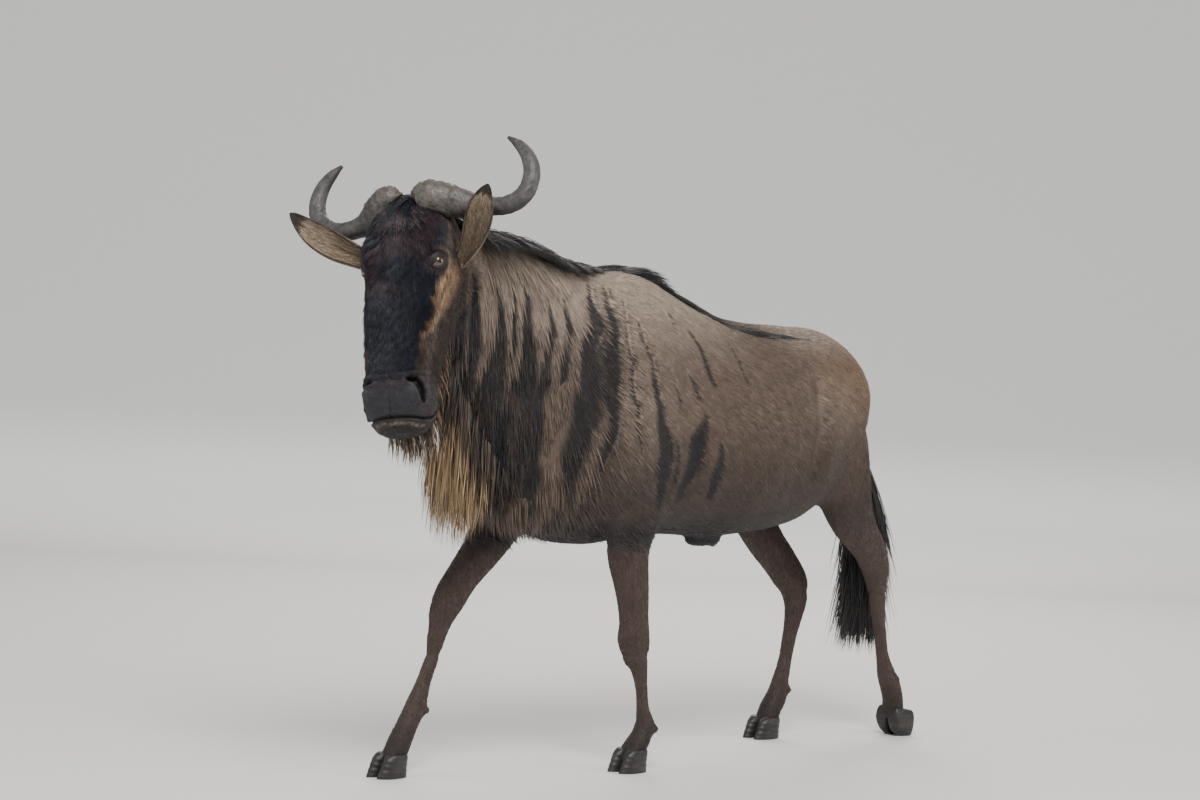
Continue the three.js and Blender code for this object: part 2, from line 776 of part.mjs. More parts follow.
function chinLocks() {
  const random = seeded(37);
  const locks = [];
  for (let k = 0; k < CHIN.rows; k += 1) {
    for (const side of [-1, 1]) {
      const t = k / (CHIN.rows - 1);
      const y = side * mix(...CHIN.apart, random());
      const lean = CHIN.uneven * (random() - 0.5);
      const fall = vec(lean, CHIN.uneven * (random() - 0.5), -1).normalize();
      locks.push(lock({
        root: onHead(-mix(...CHIN.from, t), y, mix(...CHIN.height, t)),
        start: headDirection(0, 0, -1).lerp(fall, 0.4).normalize(),
        end: fall,
        across: headDirection(0, 1, 0),
        length: mix(...CHIN.length, t) * mix(0.85, 1.15, random()),
        width: CHIN.width,
        thick: CHIN.thick,
      }));
    }
  }
  return joined(locks);
}

// Forelock: locks that fall from between the horn bosses over the forehead
const FORELOCK = { places: [-13, -6.5, 0, 6.5, 13], height: 12, length: 92, width: 22, thick: 10 };

function forelock() {
  const random = seeded(53);
  return joined(FORELOCK.places.map((y, k) => lock({
    root: onHead(k % 2 ? 6 : -16, y, FORELOCK.height),
    start: headDirection(-0.8, 0, 0.5).normalize(),
    end: headDirection(-1, y / 30, -0.08).normalize(),
    across: headDirection(0, 1, 0),
    length: FORELOCK.length * mix(0.8, 1.15, random()),
    width: FORELOCK.width,
    thick: FORELOCK.thick,
  })));
}

// Tail tuft: a tapering core, as x, y, z and half width, with long locks that hang from
// it and swing backwards
const CORE_ROWS = [
  [956, -4, 700, 22], [970, 0, 620, 26], [984, 4, 520, 24], [988, 4, 420, 16], [984, 4, 340, 5],
];
const TUFT = {
  count: 14, turn: 2.4, swing: 0.16, length: [250, 330], width: 48, thick: 18, lowest: 200,
};

function tailLocks() {
  const random = seeded(71);
  const core = smoothRows(CORE_ROWS, 20);
  const locks = [];
  for (let k = 0; k < TUFT.count; k += 1) {
    const t = k / TUFT.count;
    const [x, y, z, half] = core[Math.round(t * 13)];
    const out = vec(Math.cos(k * TUFT.turn), 0.6 * Math.sin(k * TUFT.turn), 0);
    const swing = mix(TUFT.swing, -TUFT.swing, t) + 0.14 * (random() - 0.5);
    const fall = vec(swing + 0.1 * out.x, 0.08 * out.y, -1).normalize();
    locks.push(lock({
      root: vec(x, y, z).addScaledVector(out, half * 0.3),
      start: fall.clone().addScaledVector(out, 0.3).normalize(),
      end: fall,
      across: vec(-out.y, out.x, 0),
      length: Math.min(mix(...TUFT.length, random()), z - TUFT.lowest),
      width: TUFT.width,
      thick: TUFT.thick,
      steps: 4,
    }));
  }
  return joined([tailLoft(CORE_ROWS, 7), ...locks]);
}

// The sheath is a low swelling with a short tuft under the belly
function sheath() {
  const lean = new THREE.Quaternion().setFromAxisAngle(vec(0, 1, 0), 12 * DEG);
  return ellipsoid(vec(345, 0, 566), vec(70, 26, 30), lean, 12);
}

function scrotum() {
  return ellipsoid(vec(712, -6, 652), vec(40, 36, 54), undefined, 12);
}

// Build
const trunk = trunkLoft().add(sheath());
const trunkClear = trunkLoft(GAP);
const neckCutPoint = vec(-250, 0, 950);
const neckCutDirection = vec(-Math.cos(28 * DEG), 0, Math.sin(28 * DEG));
const chestBellyCut = vec(190, 0, 0);
const bellyRumpCut = vec(600, 0, 0);
const back = vec(1, 0, 0);
const forward = vec(-1, 0, 0);

const headClear = headLoft(GAP);
const body = joined([trunk, neckLoft(), maneLocks()]);
const bareNeck = trimmed(body, neckCutPoint, neckCutDirection);
const beard = trimmed(beardLocks(), neckCutPoint, neckCutDirection);
const neck = bareNeck.add(beard).subtract(headClear);
const torso = trimmed(body, neckCutPoint, neckCutDirection.clone().negate());
const chest = trimmed(torso, chestBellyCut, forward);
const belly = trimmed(trimmed(torso, chestBellyCut, back), bellyRumpCut, forward);
const rump = trimmed(torso, bellyRumpCut, back);

addNode('head', joined([headSolid(), chinLocks(), forelock()]), 'face');
addNode('neck', neck, 'coat');
addNode('chest', chest, 'coat');
addNode('belly', belly, 'coat');
addNode('rump', rump, 'coat');

for (const side of [-1, 1]) {
  const name = side < 0 ? 'left' : 'right';
  addNode(`eye_${name}`, eyeball(side), 'eye');
  const horn = hornLoft(side, HORN_REACH[name]);
  const hornClear = hornLoft(side, HORN_REACH[name], GAP);
  addNode(`horn_${name}`, horn.subtract(headClear), 'horn');
  addNode(`ear_${name}`, earSolid(EARS[name]).subtract(headClear).subtract(hornClear), 'ear');
}

for (const [name, leg] of Object.entries(LEGS)) addLeg(name, leg, trunkClear);

const dock = tailLoft(DOCK_ROWS, 10).subtract(trunkClear);
addNode('tail_dock', trimmed(dock, TAIL_CUT, vec(0, 0, 1)), 'coat');
addNode('tail_tuft', trimmed(tailLocks(), TAIL_CUT, vec(0, 0, -1)), 'tail');
addNode('scrotum', scrotum().subtract(trunkClear), 'dark');

// Stand the model on the floor with its box centred on the origin
const box = new THREE.Box3().setFromObject(group);
const middle = box.getCenter(vec(0, 0, 0));
group.position.set(-middle.x, -middle.y, -box.min.z);
group.updateMatrixWorld(true);

export default group;
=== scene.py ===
"""A wildebeest bull, life size, walking with its head turned to its left."""
import bpy
import bmesh
import math
import numpy as np
from mathutils import Matrix, Vector
from mathutils.kdtree import KDTree


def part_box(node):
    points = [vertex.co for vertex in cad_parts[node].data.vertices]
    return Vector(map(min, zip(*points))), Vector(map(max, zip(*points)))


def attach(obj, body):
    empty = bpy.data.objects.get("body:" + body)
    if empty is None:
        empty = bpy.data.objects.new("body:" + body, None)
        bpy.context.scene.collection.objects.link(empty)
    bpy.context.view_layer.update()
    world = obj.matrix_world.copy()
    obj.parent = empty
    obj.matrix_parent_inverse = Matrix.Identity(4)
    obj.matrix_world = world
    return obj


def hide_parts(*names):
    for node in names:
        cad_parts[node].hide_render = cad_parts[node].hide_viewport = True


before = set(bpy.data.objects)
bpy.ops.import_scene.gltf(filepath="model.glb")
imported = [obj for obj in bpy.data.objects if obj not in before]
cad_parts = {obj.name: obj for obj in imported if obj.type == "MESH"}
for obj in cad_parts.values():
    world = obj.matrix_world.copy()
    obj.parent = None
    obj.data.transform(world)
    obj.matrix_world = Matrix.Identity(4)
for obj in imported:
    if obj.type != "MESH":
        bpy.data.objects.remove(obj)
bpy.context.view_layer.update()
RNG = np.random.default_rng(7)

# Tables of the shapes, in millimetres
TRUNK_ROWS = [
    [-392, 800, 640, 60, 0.5], [-372, 900, 620, 112, 0.48], [-300, 1080, 588, 160, 0.46],
    [-210, 1216, 562, 186, 0.46], [-110, 1246, 552, 198, 0.47], [0, 1252, 560, 204, 0.46],
    [100, 1214, 568, 213, 0.44], [200, 1172, 566, 226, 0.43], [300, 1136, 556, 234, 0.42],
    [400, 1117, 558, 236, 0.42], [500, 1107, 566, 233, 0.43], [600, 1104, 586, 222, 0.45],
    [690, 1099, 628, 203, 0.5], [765, 1078, 700, 163, 0.55], [815, 1040, 780, 121, 0.55],
    [842, 998, 850, 76, 0.5], [856, 950, 890, 34, 0.5],
]
SWELLINGS = [
    [-150, 175, 820, 130, 22], [-20, 190, 1010, 120, 10], [20, 180, 690, 110, 12],
    [760, 170, 860, 150, 13], [620, 150, 1030, 70, 10], [560, 215, 960, 90, -18],
    [150, 220, 1000, 110, -10],
]
NECK_ROWS = [
    [-180, 0, 900, 5, 335, 320, 160], [-300, -6, 960, 15, 305, 300, 152],
    [-420, -22, 1050, 25, 247, 232, 128], [-540, -42, 1140, 33, 192, 176, 104],
    [-640, -58, 1225, 38, 125, 140, 90], [-700, -64, 1275, 40, 84, 106, 78],
]
HEAD_PLACE = np.array([-788.0, -66.0, 1376.0])
HEAD_YAW, HEAD_PITCH, HEAD_ROLL = 18.0, 70.0, 8.5
HEAD_ROWS = [
    [-32, -20, -90, 50, 0.5, 2.2, 2], [-10, 12, -140, 78, 0.55, 2.5, 2],
    [40, 24, -188, 98, 0.64, 2.9, 2], [100, 27, -212, 106, 0.68, 3.2, 1.9],
    [160, 22, -214, 106, 0.7, 3.2, 1.8], [220, 14, -200, 103, 0.68, 3.3, 1.8],
    [285, 8, -174, 97, 0.66, 3.3, 2], [350, 4, -150, 90, 0.62, 3.2, 2.1],
    [410, 2, -136, 84, 0.56, 3, 2.3], [460, -2, -130, 85, 0.5, 2.8, 2.4],
    [500, -14, -126, 81, 0.48, 2.6, 2.4], [528, -32, -116, 63, 0.46, 2.4, 2.2],
    [540, -54, -98, 36, 0.46, 2, 2],
]
EYE = np.array([-148.0, 89.0, -14.0])
EYE_RADIUS = 20.0
MOUTH = [[-517, 2], [-514, -20], [-513, -50], [-503, -74], [-482, -88], [-448, -96]]
HORN_ROWS = [
    [9, 25, -2, 17], [12, 34, -2, 33], [10, 60, -8, 41], [0, 102, -32, 37],
    [-22, 150, -46, 27], [-35, 200, -36, 22.5], [-25, 242, -32, 22], [2, 274, -30, 21.5],
    [44, 284, -30, 20.5], [84, 273, -30, 18], [116, 249, -30, 13], [138, 220, -30, 4],
]
HORN_REACH = {"left": (1.1, 1.06, 18.0), "right": (0.92, 0.95, 0.0)}
HORN_BEND = (178.0, 62.0)
EARS = {
    "left": ([[-128, -98, -92], [-96, -152, -52], [-66, -194, -6], [-34, -220, 26], [6, -238, 34]],
             [-0.15, -0.5, 1], 38),
    "right": ([[-118, 94, -84], [-104, 140, -34], [-86, 184, 8], [-50, 240, 32], [-2, 294, 34]],
              [-0.2, 0.2, 1], 39),
}
LEGS = {
    "front_left": [
        [0, -112, 740, 92, 46], [-36, -120, 640, 78, 48], [-64, -126, 560, 64, 46],
        [-52, -130, 470, 50, 38], [-36, -128, 385, 42, 33], [-30, -127, 330, 42, 37],
        [-24, -127, 290, 37, 34], [-8, -127, 255, 24, 24], [4, -127, 205, 19, 17],
        [12, -127, 150, 20, 18], [20, -127, 112, 29, 24], [8, -127, 82, 27, 29],
        [-16, -127, 52, 29, 34], [-30, -127, 20, 30, 34]],
    "front_right": [
        [-120, 116, 760, 100, 66], [-176, 120, 690, 90, 62], [-248, 122, 625, 70, 55],
        [-315, 122, 545, 54, 46], [-382, 120, 480, 46, 38], [-425, 120, 425, 44, 37],
        [-449, 120, 385, 36, 33], [-459, 120, 345, 25, 26], [-474, 120, 290, 21, 19],
        [-500, 120, 225, 21, 19], [-525, 120, 165, 29, 25], [-546, 120, 128, 28, 27],
        [-572, 120, 82, 29, 32], [-598, 120, 30, 30, 34]],
    "hind_left": [
        [732, -96, 900, 74, 48], [727, -110, 820, 94, 60], [733, -122, 715, 99, 61],
        [765, -122, 625, 77, 54], [826, -108, 565, 58, 42], [885, -96, 517, 52, 36],
        [922, -88, 468, 45, 33], [938, -84, 420, 31, 28], [950, -81, 350, 22, 23],
        [968, -79, 285, 20, 20], [984, -78, 220, 20, 20], [1003, -77, 170, 28, 25],
        [1024, -76, 134, 31, 28], [1038, -75, 98, 28, 31], [1040, -74, 44, 28, 34]],
    "hind_right": [
        [700, 98, 860, 84, 52], [668, 110, 760, 104, 60], [646, 116, 680, 94, 60],
        [655, 118, 600, 70, 52], [690, 106, 530, 56, 44], [742, 94, 470, 52, 38],
        [786, 86, 412, 50, 35], [799, 82, 368, 38, 31], [794, 80, 322, 27, 26],
        [781, 80, 262, 22, 21], [768, 80, 200, 21, 21], [750, 80, 140, 27, 24],
        [738, 80, 104, 32, 28], [716, 80, 74, 30, 32], [698, 80, 30, 30, 34]],
}
FEET = {
    "front_left": (-30, -127, 0, 0), "front_right": (-604, 120, 0, 0),
    "hind_left": (1108, -74, -6, -80), "hind_right": (690, 80, 0, 0),
}
FETLOCKS = {"front_left": 136, "front_right": 190, "hind_left": 190, "hind_right": 160}
TOE = -44.0
CLAW_ROWS = [[8, 56, 27, 17], [2, 44, 34, 19], [-4, 24, 39, 20], [-9, 0, 43, 20], [-10, -14, 43, 19]]
DOCK_ROWS = [[826, 0, 996, 32], [868, -2, 958, 29], [906, -4, 890, 24], [932, -5, 810, 20],
             [950, -6, 730, 18], [960, -6, 660, 16]]
CORE_ROWS = [[956, -4, 700, 22], [970, 0, 620, 26], [984, 4, 520, 24], [988, 4, 420, 16],
             [984, 4, 340, 5]]


DOWN = np.array([0, 0, -1.0])


# Helpers
def unit(v):
    v = np.asarray(v, float)
    return v / np.maximum(np.linalg.norm(v, axis=-1, keepdims=True), 1e-9)


def triples(a, b, c):
    """Rows of three values, from three arrays or numbers."""
    return np.stack(np.broadcast_arrays(a, b, c), -1)


def folded(p):
    """Places with the animal's two sides laid on each other, so that y has no sign."""
    return triples(p[:, 0], np.abs(p[:, 1]), p[:, 2])


def lengths(v):
    return np.linalg.norm(v, axis=-1)


def mix(a, b, t):
    return a + (b - a) * t


def bell(x, width):
    return np.exp(-(x / width) ** 2)


def ease(x, a, b):
    t = np.clip((x - a) / (b - a), 0, 1)
    return t * t * (3 - 2 * t)


def smooth_rows(rows, count):
    table = np.array(rows, float)
    last = len(table) - 1
    u = np.linspace(0, last, count)
    i = np.minimum(u.astype(int), last - 1)
    t = (u - i)[:, None]
    a, b, c, d = (table[np.clip(i + k, 0, last)] for k in (-1, 0, 1, 2))
    bend = (2 * a - 5 * b + 4 * c - d) * t * t + (3 * b - a - 3 * c + d) * t ** 3
    return b + 0.5 * ((c - a) * t + bend)


def turn(axis, degrees):
    return np.array(Matrix.Rotation(math.radians(degrees), 3, axis))


HEAD_TURN = turn("Z", HEAD_YAW) @ turn("X", -HEAD_ROLL) @ turn("Y", -HEAD_PITCH)


def on_head(p):
    return np.asarray(p, float) @ HEAD_TURN.T + HEAD_PLACE


def head_direction(v):
    return np.asarray(v, float) @ HEAD_TURN.T


def head_local(p):
    return (np.asarray(p, float) - HEAD_PLACE) @ HEAD_TURN


# The frame's shift from the animal's own coordinates, read from the left eye's place
_low, _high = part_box("eye_left")
SHIFT = np.array([(a + b) / 2 for a, b in zip(_low, _high)]) * 1000 - on_head([EYE[0], -EYE[1], EYE[2]])
SHIFT[2] = 0.0


def to_row(p):
    return (np.asarray(p, float) + SHIFT) / 1000


def from_row(p):
    return np.asarray(p, float) * 1000 - SHIFT


# Lofts
def ring_points(centre, up, side, top, bottom, half, squares, count, inset=0.0):
    """Rings round `centre`: reach up, down and sideways, and how square each half is."""
    n = len(centre)
    a = np.linspace(0, 2 * np.pi, count, endpoint=False)
    c, q = np.cos(a), np.sin(a)
    top, bottom, half = (np.maximum(v - inset, 3)[:, None] for v in (top, bottom, half))
    above, below = (np.broadcast_to(v, n)[:, None] for v in squares)
    power = 2 / np.where(q >= 0, above, below)
    across = np.sign(c) * np.abs(c) ** power * half
    along = np.sign(q) * np.abs(q) ** power * np.where(q >= 0, top, bottom)
    up, side = (np.broadcast_to(v, (n, 3))[:, None] for v in (up, side))
    return centre[:, None] + side * across[..., None] + up * along[..., None]


def trunk_rings(rows, count, inset):
    r = smooth_rows(TRUNK_ROWS, rows)
    z = mix(r[:, 2], r[:, 1], r[:, 4])
    centre = triples(r[:, 0], 0, z)
    rings = ring_points(centre, [0, 0, 1], [0, 1, 0], r[:, 1] - z, z - r[:, 2], r[:, 3], (1.85, 2.1),
                        count, inset)
    rise = 0
    for *place, reach, height in SWELLINGS:
        rise = rise + height * gauss(rings.reshape(-1, 3), *place, reach).reshape(rings.shape[:2])
    return rings + unit(rings - centre[:, None]) * rise[..., None]


def neck_rings(rows, count, inset):
    r = smooth_rows(NECK_ROWS, rows)
    return ring_points(r[:, :3], neck_up(r), [0, 1, 0], r[:, 4], r[:, 5], r[:, 6], (1.7, 1.9), count, inset)


def neck_up(rows):
    lean = np.radians(rows[:, 3])
    return triples(np.sin(lean), 0, np.cos(lean))


def head_rings(rows, count, inset):
    r = smooth_rows(HEAD_ROWS, rows)
    z = mix(r[:, 2], r[:, 1], r[:, 4])
    return ring_points(on_head(triples(-r[:, 0], 0, z)), head_direction([0, 0, 1]),
                       head_direction([0, 1, 0]), r[:, 1] - z, z - r[:, 2], r[:, 3],
                       (r[:, 5], r[:, 6]), count, inset)


def leg_rings(table, rows, count, inset):
    r = smooth_rows(table, rows)
    d = unit(np.gradient(r[:, [0, 2]], axis=0))
    return ring_points(r[:, :3], triples(d[:, 1], 0, -d[:, 0]), [0, 1, 0], r[:, 3], r[:, 3], r[:, 4],
                       (2.1, 2.1), count, inset)


def sweep_rings(path, radii, count, flat=1.0, inset=0.0):
    along = unit(np.gradient(path, axis=0))
    n = len(path)
    side = np.zeros((n, 3))
    last = np.array([0, 0, 1.0]) if abs(along[0, 2]) < 0.9 else np.array([0, 1.0, 0])
    for i in range(n):
        last = unit(last - along[i] * (last @ along[i]))
        side[i] = last
    high = radii * flat
    return ring_points(path, np.cross(along, side), side, high, high, radii, (2.0, 2.0), count, inset)


def tail_rings(table, rows, count, inset):
    r = smooth_rows(table, rows)
    return sweep_rings(r[:, :3], r[:, 3], count, 0.6, inset)


def ellipsoid_rings(centre, sizes, count=32):
    polar = np.linspace(0, np.pi, count // 2 + 1)[1:-1]
    a = np.linspace(0, 2 * np.pi, count, endpoint=False)
    wide = np.sin(polar)[:, None]
    p = triples(wide * np.cos(a), wide * np.sin(a), np.cos(polar)[:, None])
    return p * sizes + centre


def facing_out(points, tri):
    """The triangles of a closed form, turned so that they face outward."""
    v = points[tri]
    volume = np.einsum("ij,ij->", v[:, 0], np.cross(v[:, 1], v[:, 2]))
    return tri if volume > 0 else tri[:, ::-1]


def loft_faces(rings):
    """Vertices and triangles of a closed skin over a row of rings."""
    k, n = rings.shape[:2]
    points = np.vstack([rings.reshape(-1, 3), rings[0].mean(0), rings[-1].mean(0)])
    i = np.arange(n)
    j = (i + 1) % n
    base = (np.arange(k - 1) * n)[:, None]
    a, b = base + i, base + j
    tri = np.vstack([triples(a, b, b + n).reshape(-1, 3), triples(a, b + n, a + n).reshape(-1, 3),
                     triples(k * n, j, i), triples(k * n + 1, (k - 1) * n + i, (k - 1) * n + j)])
    return points, facing_out(points, tri)


def merged(parts):
    firsts = np.cumsum([0] + [len(p) for p, _ in parts[:-1]])
    return np.vstack([p for p, _ in parts]), np.vstack([f + k for (_, f), k in zip(parts, firsts)])


def new_object(name, data):
    item = bpy.data.objects.new(name, data)
    bpy.context.scene.collection.objects.link(item)
    return item


def mesh_object(name, points, faces, smooth=True):
    """A mesh object in the row's frame from points in mm and an array of faces."""
    faces = np.asarray(faces)
    mesh = bpy.data.meshes.new(name)
    count, corners = faces.shape
    mesh.vertices.add(len(points))
    mesh.vertices.foreach_set("co", to_row(points).astype(np.float32).ravel())
    mesh.loops.add(count * corners)
    mesh.loops.foreach_set("vertex_index", faces.astype(np.int32).ravel())
    mesh.polygons.add(count)
    mesh.polygons.foreach_set("loop_start", np.arange(0, count * corners, corners, dtype=np.int32))
    mesh.polygons.foreach_set("loop_total", np.full(count, corners, np.int32))
    mesh.polygons.foreach_set("use_smooth", np.full(count, smooth))
    mesh.update()
    mesh.validate()
    return new_object(name, mesh)


def values_of(items, key, width, kind=np.float32):
    """One value of all the items of a mesh, in rows of `width` numbers."""
    values = np.empty(len(items) * width, kind)
    items.foreach_get(key, values)
    return values.reshape(-1, width)


def points_of(mesh):
    return from_row(values_of(mesh.vertices, "co", 3))


def normals_of(mesh):
    return values_of(mesh.vertex_normals, "vector", 3).astype(float)


def set_points(mesh, points):
    mesh.vertices.foreach_set("co", to_row(points).astype(np.float32).ravel())
    mesh.update()


def edges_of(mesh):
    return values_of(mesh.edges, "vertices", 2, np.int32)


def relaxed(points, edges, rounds, weight):
    """Moves points towards the mean of their neighbours, as strongly as `weight` says."""
    n = len(points)
    degree = np.bincount(edges.ravel(), minlength=n)[:, None].clip(1)
    for _ in range(rounds):
        total = np.zeros((n, 3))
        for axis in range(3):
            total[:, axis] = (np.bincount(edges[:, 0], points[edges[:, 1], axis], n)
                              + np.bincount(edges[:, 1], points[edges[:, 0], axis], n))
        points = points + (total / degree - points) * weight
    return points


def near_line(p, line):
    """Distance from points to a line of straight parts, and how far along it they lie."""
    line = np.asarray(line, float)
    best = np.full(len(p), 1e9)
    place = np.zeros(len(p))
    for k in range(len(line) - 1):
        a, b = line[k], line[k + 1]
        t = np.clip(((p - a) @ (b - a)) / ((b - a) @ (b - a)), 0, 1)
        d = lengths(p - (a + t[:, None] * (b - a)))
        closer = d < best
        best = np.where(closer, d, best)
        place = np.where(closer, (k + t) / (len(line) - 1), place)
    return best, place


# Repeatable smooth noise from a sum of turned waves, about -1 to 1
_WAVES = {}
WAVE_COUNT = 12


def waves(p, size, seed):
    if seed not in _WAVES:
        rng = np.random.default_rng(seed)
        _WAVES[seed] = (unit(rng.normal(size=(WAVE_COUNT, 3))) * rng.uniform(0.6, 1.7, (WAVE_COUNT, 1)),
                        rng.uniform(0, 2 * np.pi, WAVE_COUNT))
    k, phase = _WAVES[seed]
    total = np.sin(np.asarray(p) @ (k.T * 2 * np.pi / size) + phase).sum(1)
    return total / math.sqrt(WAVE_COUNT / 2) * 0.6


# Skin
COAT_DEPTH, SHORT_COAT_DEPTH = 5.0, 2.0
SCROTUM = ([712, -6, 652], [37, 33, 51])
SHEATH = [([337, 0, 552], [66, 22, 19]), ([374, 0, 541], [16, 11, 12])]
VOXEL = 0.0062
JOINTS = [
    # places where limbs, head and tail run into the body: x, y, z, reach
    [-64, -120, 590, 70], [-30, -150, 680, 90], [-230, 122, 640, 80], [-180, 150, 720, 90],
    [745, -150, 720, 110], [730, -120, 620, 70], [655, 150, 720, 110], [650, 130, 620, 70],
    [840, 0, 985, 60], [700, 0, 640, 60], [-250, -120, 950, 120], [-250, 120, 950, 120],
    [-330, 0, 640, 110], [-390, 0, 700, 110], [-230, -110, 1140, 110], [-230, 110, 1140, 110],
    [-690, -60, 1290, 100], [-700, -110, 1200, 90], [-690, -10, 1200, 90], [-160, 0, 1240, 90],
]


def base_skin():
    forms = [trunk_rings(150, 140, COAT_DEPTH), neck_rings(90, 110, COAT_DEPTH),
             head_rings(110, 110, SHORT_COAT_DEPTH), tail_rings(DOCK_ROWS, 50, 28, SHORT_COAT_DEPTH)]
    forms += [ellipsoid_rings(*form) for form in (SCROTUM, *SHEATH)]
    forms += [leg_rings(table, 90, 40, SHORT_COAT_DEPTH) for table in LEGS.values()]
    forms += [dewclaw_rings(name, side) for name in LEGS for side in (-1, 1)]
    return merged([loft_faces(rings) for rings in forms])


def dewclaw_rings(name, side):
    rows = smooth_rows(LEGS[name], 200)
    k = int(np.argmax(rows[:, 2] < FETLOCKS[name] - 26))
    x, y, z = rows[k, :3]
    return ellipsoid_rings([x + 24, y + side * 14, z - 8], [13, 8, 12], 16)


def build_skin():
    raw = mesh_object("raw_form", *base_skin())
    remesh = raw.modifiers.new("remesh", "REMESH")
    remesh.mode = "VOXEL"
    remesh.voxel_size = VOXEL
    remesh.use_smooth_shade = True
    view = bpy.context.evaluated_depsgraph_get()
    mesh = bpy.data.meshes.new_from_object(raw.evaluated_get(view))
    bpy.data.objects.remove(raw)
    mesh.name = "skin"
    p = points_of(mesh)
    e = edges_of(mesh)
    soft = np.zeros(len(p))
    for *place, reach in JOINTS:
        soft = np.maximum(soft, np.exp(-(lengths(p - place) / reach) ** 4))
    p = relaxed(p, e, 4, 0.5)
    p = relaxed(p, e, 45, (0.62 * soft)[:, None])
    set_points(mesh, p)
    refine(mesh, lambda q: head_zone(q) > 0.5)
    refine(mesh, lambda q: fine_zone(q) > 0.5)
    p = points_of(mesh)
    set_points(mesh, relaxed(p, edges_of(mesh), 4, (0.5 * head_zone(p))[:, None]))
    for stage in (body_relief, head_relief):
        set_points(mesh, stage(points_of(mesh), normals_of(mesh)))
    triangulate(mesh)
    return new_object("skin", mesh)


def head_zone(p):
    h = head_local(p)
    inside = (h[:, 0] < 30) & (np.abs(h[:, 1]) < 125) & (h[:, 2] > -215 + 40 * (h[:, 0] > -60))
    return inside.astype(float)


def eye_distance(h):
    return lengths(folded(h) - EYE)


def fine_zone(p):
    h = head_local(p)
    eye = eye_distance(h) < 62
    muzzle = (h[:, 0] < -405) & (np.abs(h[:, 1]) < 125) & (h[:, 2] > -190)
    return (eye | muzzle).astype(float)


def refine(mesh, zone):
    bm = bmesh.new()
    bm.from_mesh(mesh)
    places = from_row(np.array([v.co[:] for v in bm.verts]))
    chosen = zone(places)
    bm.verts.ensure_lookup_table()
    edges = [e for e in bm.edges if chosen[e.verts[0].index] and chosen[e.verts[1].index]]
    bmesh.ops.subdivide_edges(bm, edges=edges, cuts=1, use_grid_fill=True)
    bm.to_mesh(mesh)
    bm.free()


def triangulate(mesh):
    bm = bmesh.new()
    bm.from_mesh(mesh)
    bmesh.ops.triangulate(bm, faces=bm.faces)
    for f in bm.faces:
        f.smooth = True
    bm.to_mesh(mesh)
    bm.free()


# Dark stripes over the neck and shoulder: x, z places and half widths, top to bottom
STRIPES = [
    [[-660, 1225, 5], [-650, 1102, 13], [-636, 1009, 16], [-650, 925, 12]],
    [[-640, 1215, 8], [-615, 1138, 14], [-600, 1046, 18], [-590, 959, 20], [-612, 880, 18]],
    [[-566, 1220, 4], [-554, 1181, 8], [-538, 1111, 15], [-540, 1033, 23], [-534, 947, 34],
     [-525, 858, 32], [-545, 800, 16]],
    [[-501, 1203, 4], [-493, 1126, 8], [-499, 1048, 7], [-510, 1005, 3]],
    [[-450, 1224, 4], [-444, 1126, 13], [-450, 1048, 22], [-455, 963, 42], [-447, 861, 46],
     [-429, 780, 30], [-418, 735, 14]],
    [[-365, 1186, 5], [-378, 1105, 13], [-394, 1020, 20], [-394, 934, 24], [-390, 847, 20],
     [-381, 759, 20], [-386, 690, 9]],
    [[-301, 1169, 4], [-312, 1091, 16], [-334, 1020, 16], [-350, 960, 5]],
    [[-190, 1200, 5], [-216, 1127, 21], [-239, 1035, 31], [-261, 949, 44], [-291, 849, 35],
     [-307, 776, 25], [-292, 718, 8]],
    [[-142, 1192, 6], [-165, 1107, 24], [-190, 1022, 28], [-204, 940, 25], [-214, 850, 19],
     [-229, 785, 11], [-239, 722, 4]],
    [[-104, 1165, 3], [-136, 1037, 6], [-143, 929, 7], [-130, 821, 6], [-117, 772, 3]],
    [[-81, 1109, 3], [-77, 1016, 8], [-68, 929, 13], [-41, 841, 20], [-33, 760, 18], [-18, 665, 10]],
    [[-6, 826, 3], [13, 751, 10], [21, 670, 5]],
    [[102, 886, 5], [84, 825, 24], [77, 750, 19], [62, 675, 8]],
    [[160, 822, 3], [158, 741, 15], [157, 680, 6]],
    [[96, 1091, 3], [122, 1052, 6], [137, 993, 9], [152, 955, 3]],
    [[238, 1066, 2], [260, 1015, 5], [279, 965, 3]],
    [[30, 1138, 2], [48, 1074, 3]],
    [[-4, 965, 2], [16, 907, 4]],
    [[72, 986, 3], [83, 928, 5]],
]


def stripe_mask(p):
    """1 in the middle of a dark stripe, 0 away from all of them."""
    mask = np.zeros(len(p))
    bend = waves(p, 160, 3) * 9
    flat = np.stack([p[:, 0] + bend + np.where(p[:, 1] > 0, 11.0, 0.0), p[:, 2]], 1)
    for rows in STRIPES:
        line = np.array(rows, float)
        best = np.full(len(p), 1e9)
        width = np.ones(len(p))
        for a, b in zip(line[:-1], line[1:]):
            d = b[:2] - a[:2]
            t = np.clip(((flat - a[:2]) @ d) / (d @ d), 0, 1)
            away = lengths(flat - (a[:2] + t[:, None] * d))
            closer = away < best
            best = np.where(closer, away, best)
            width = np.where(closer, mix(a[2], b[2], t), width)
        mask = np.maximum(mask, 1 - ease(best / width, 0.6, 1.35))
    h = head_local(p)
    off_head = 1 - ((h[:, 0] < 10) & (np.abs(h[:, 1]) < 120) & (h[:, 2] > -150)).astype(float)
    return mask * off_head


def gauss(p, x, y, z, reach):
    return np.exp(-((folded(p) - [x, y, z]) ** 2).sum(1) / reach ** 2)


def groove(p, line, width):
    away, place = near_line(folded(p), line)
    return np.exp(-(away / width) ** 2) * ease(place, 0, 0.15) * (1 - ease(place, 0.8, 1))


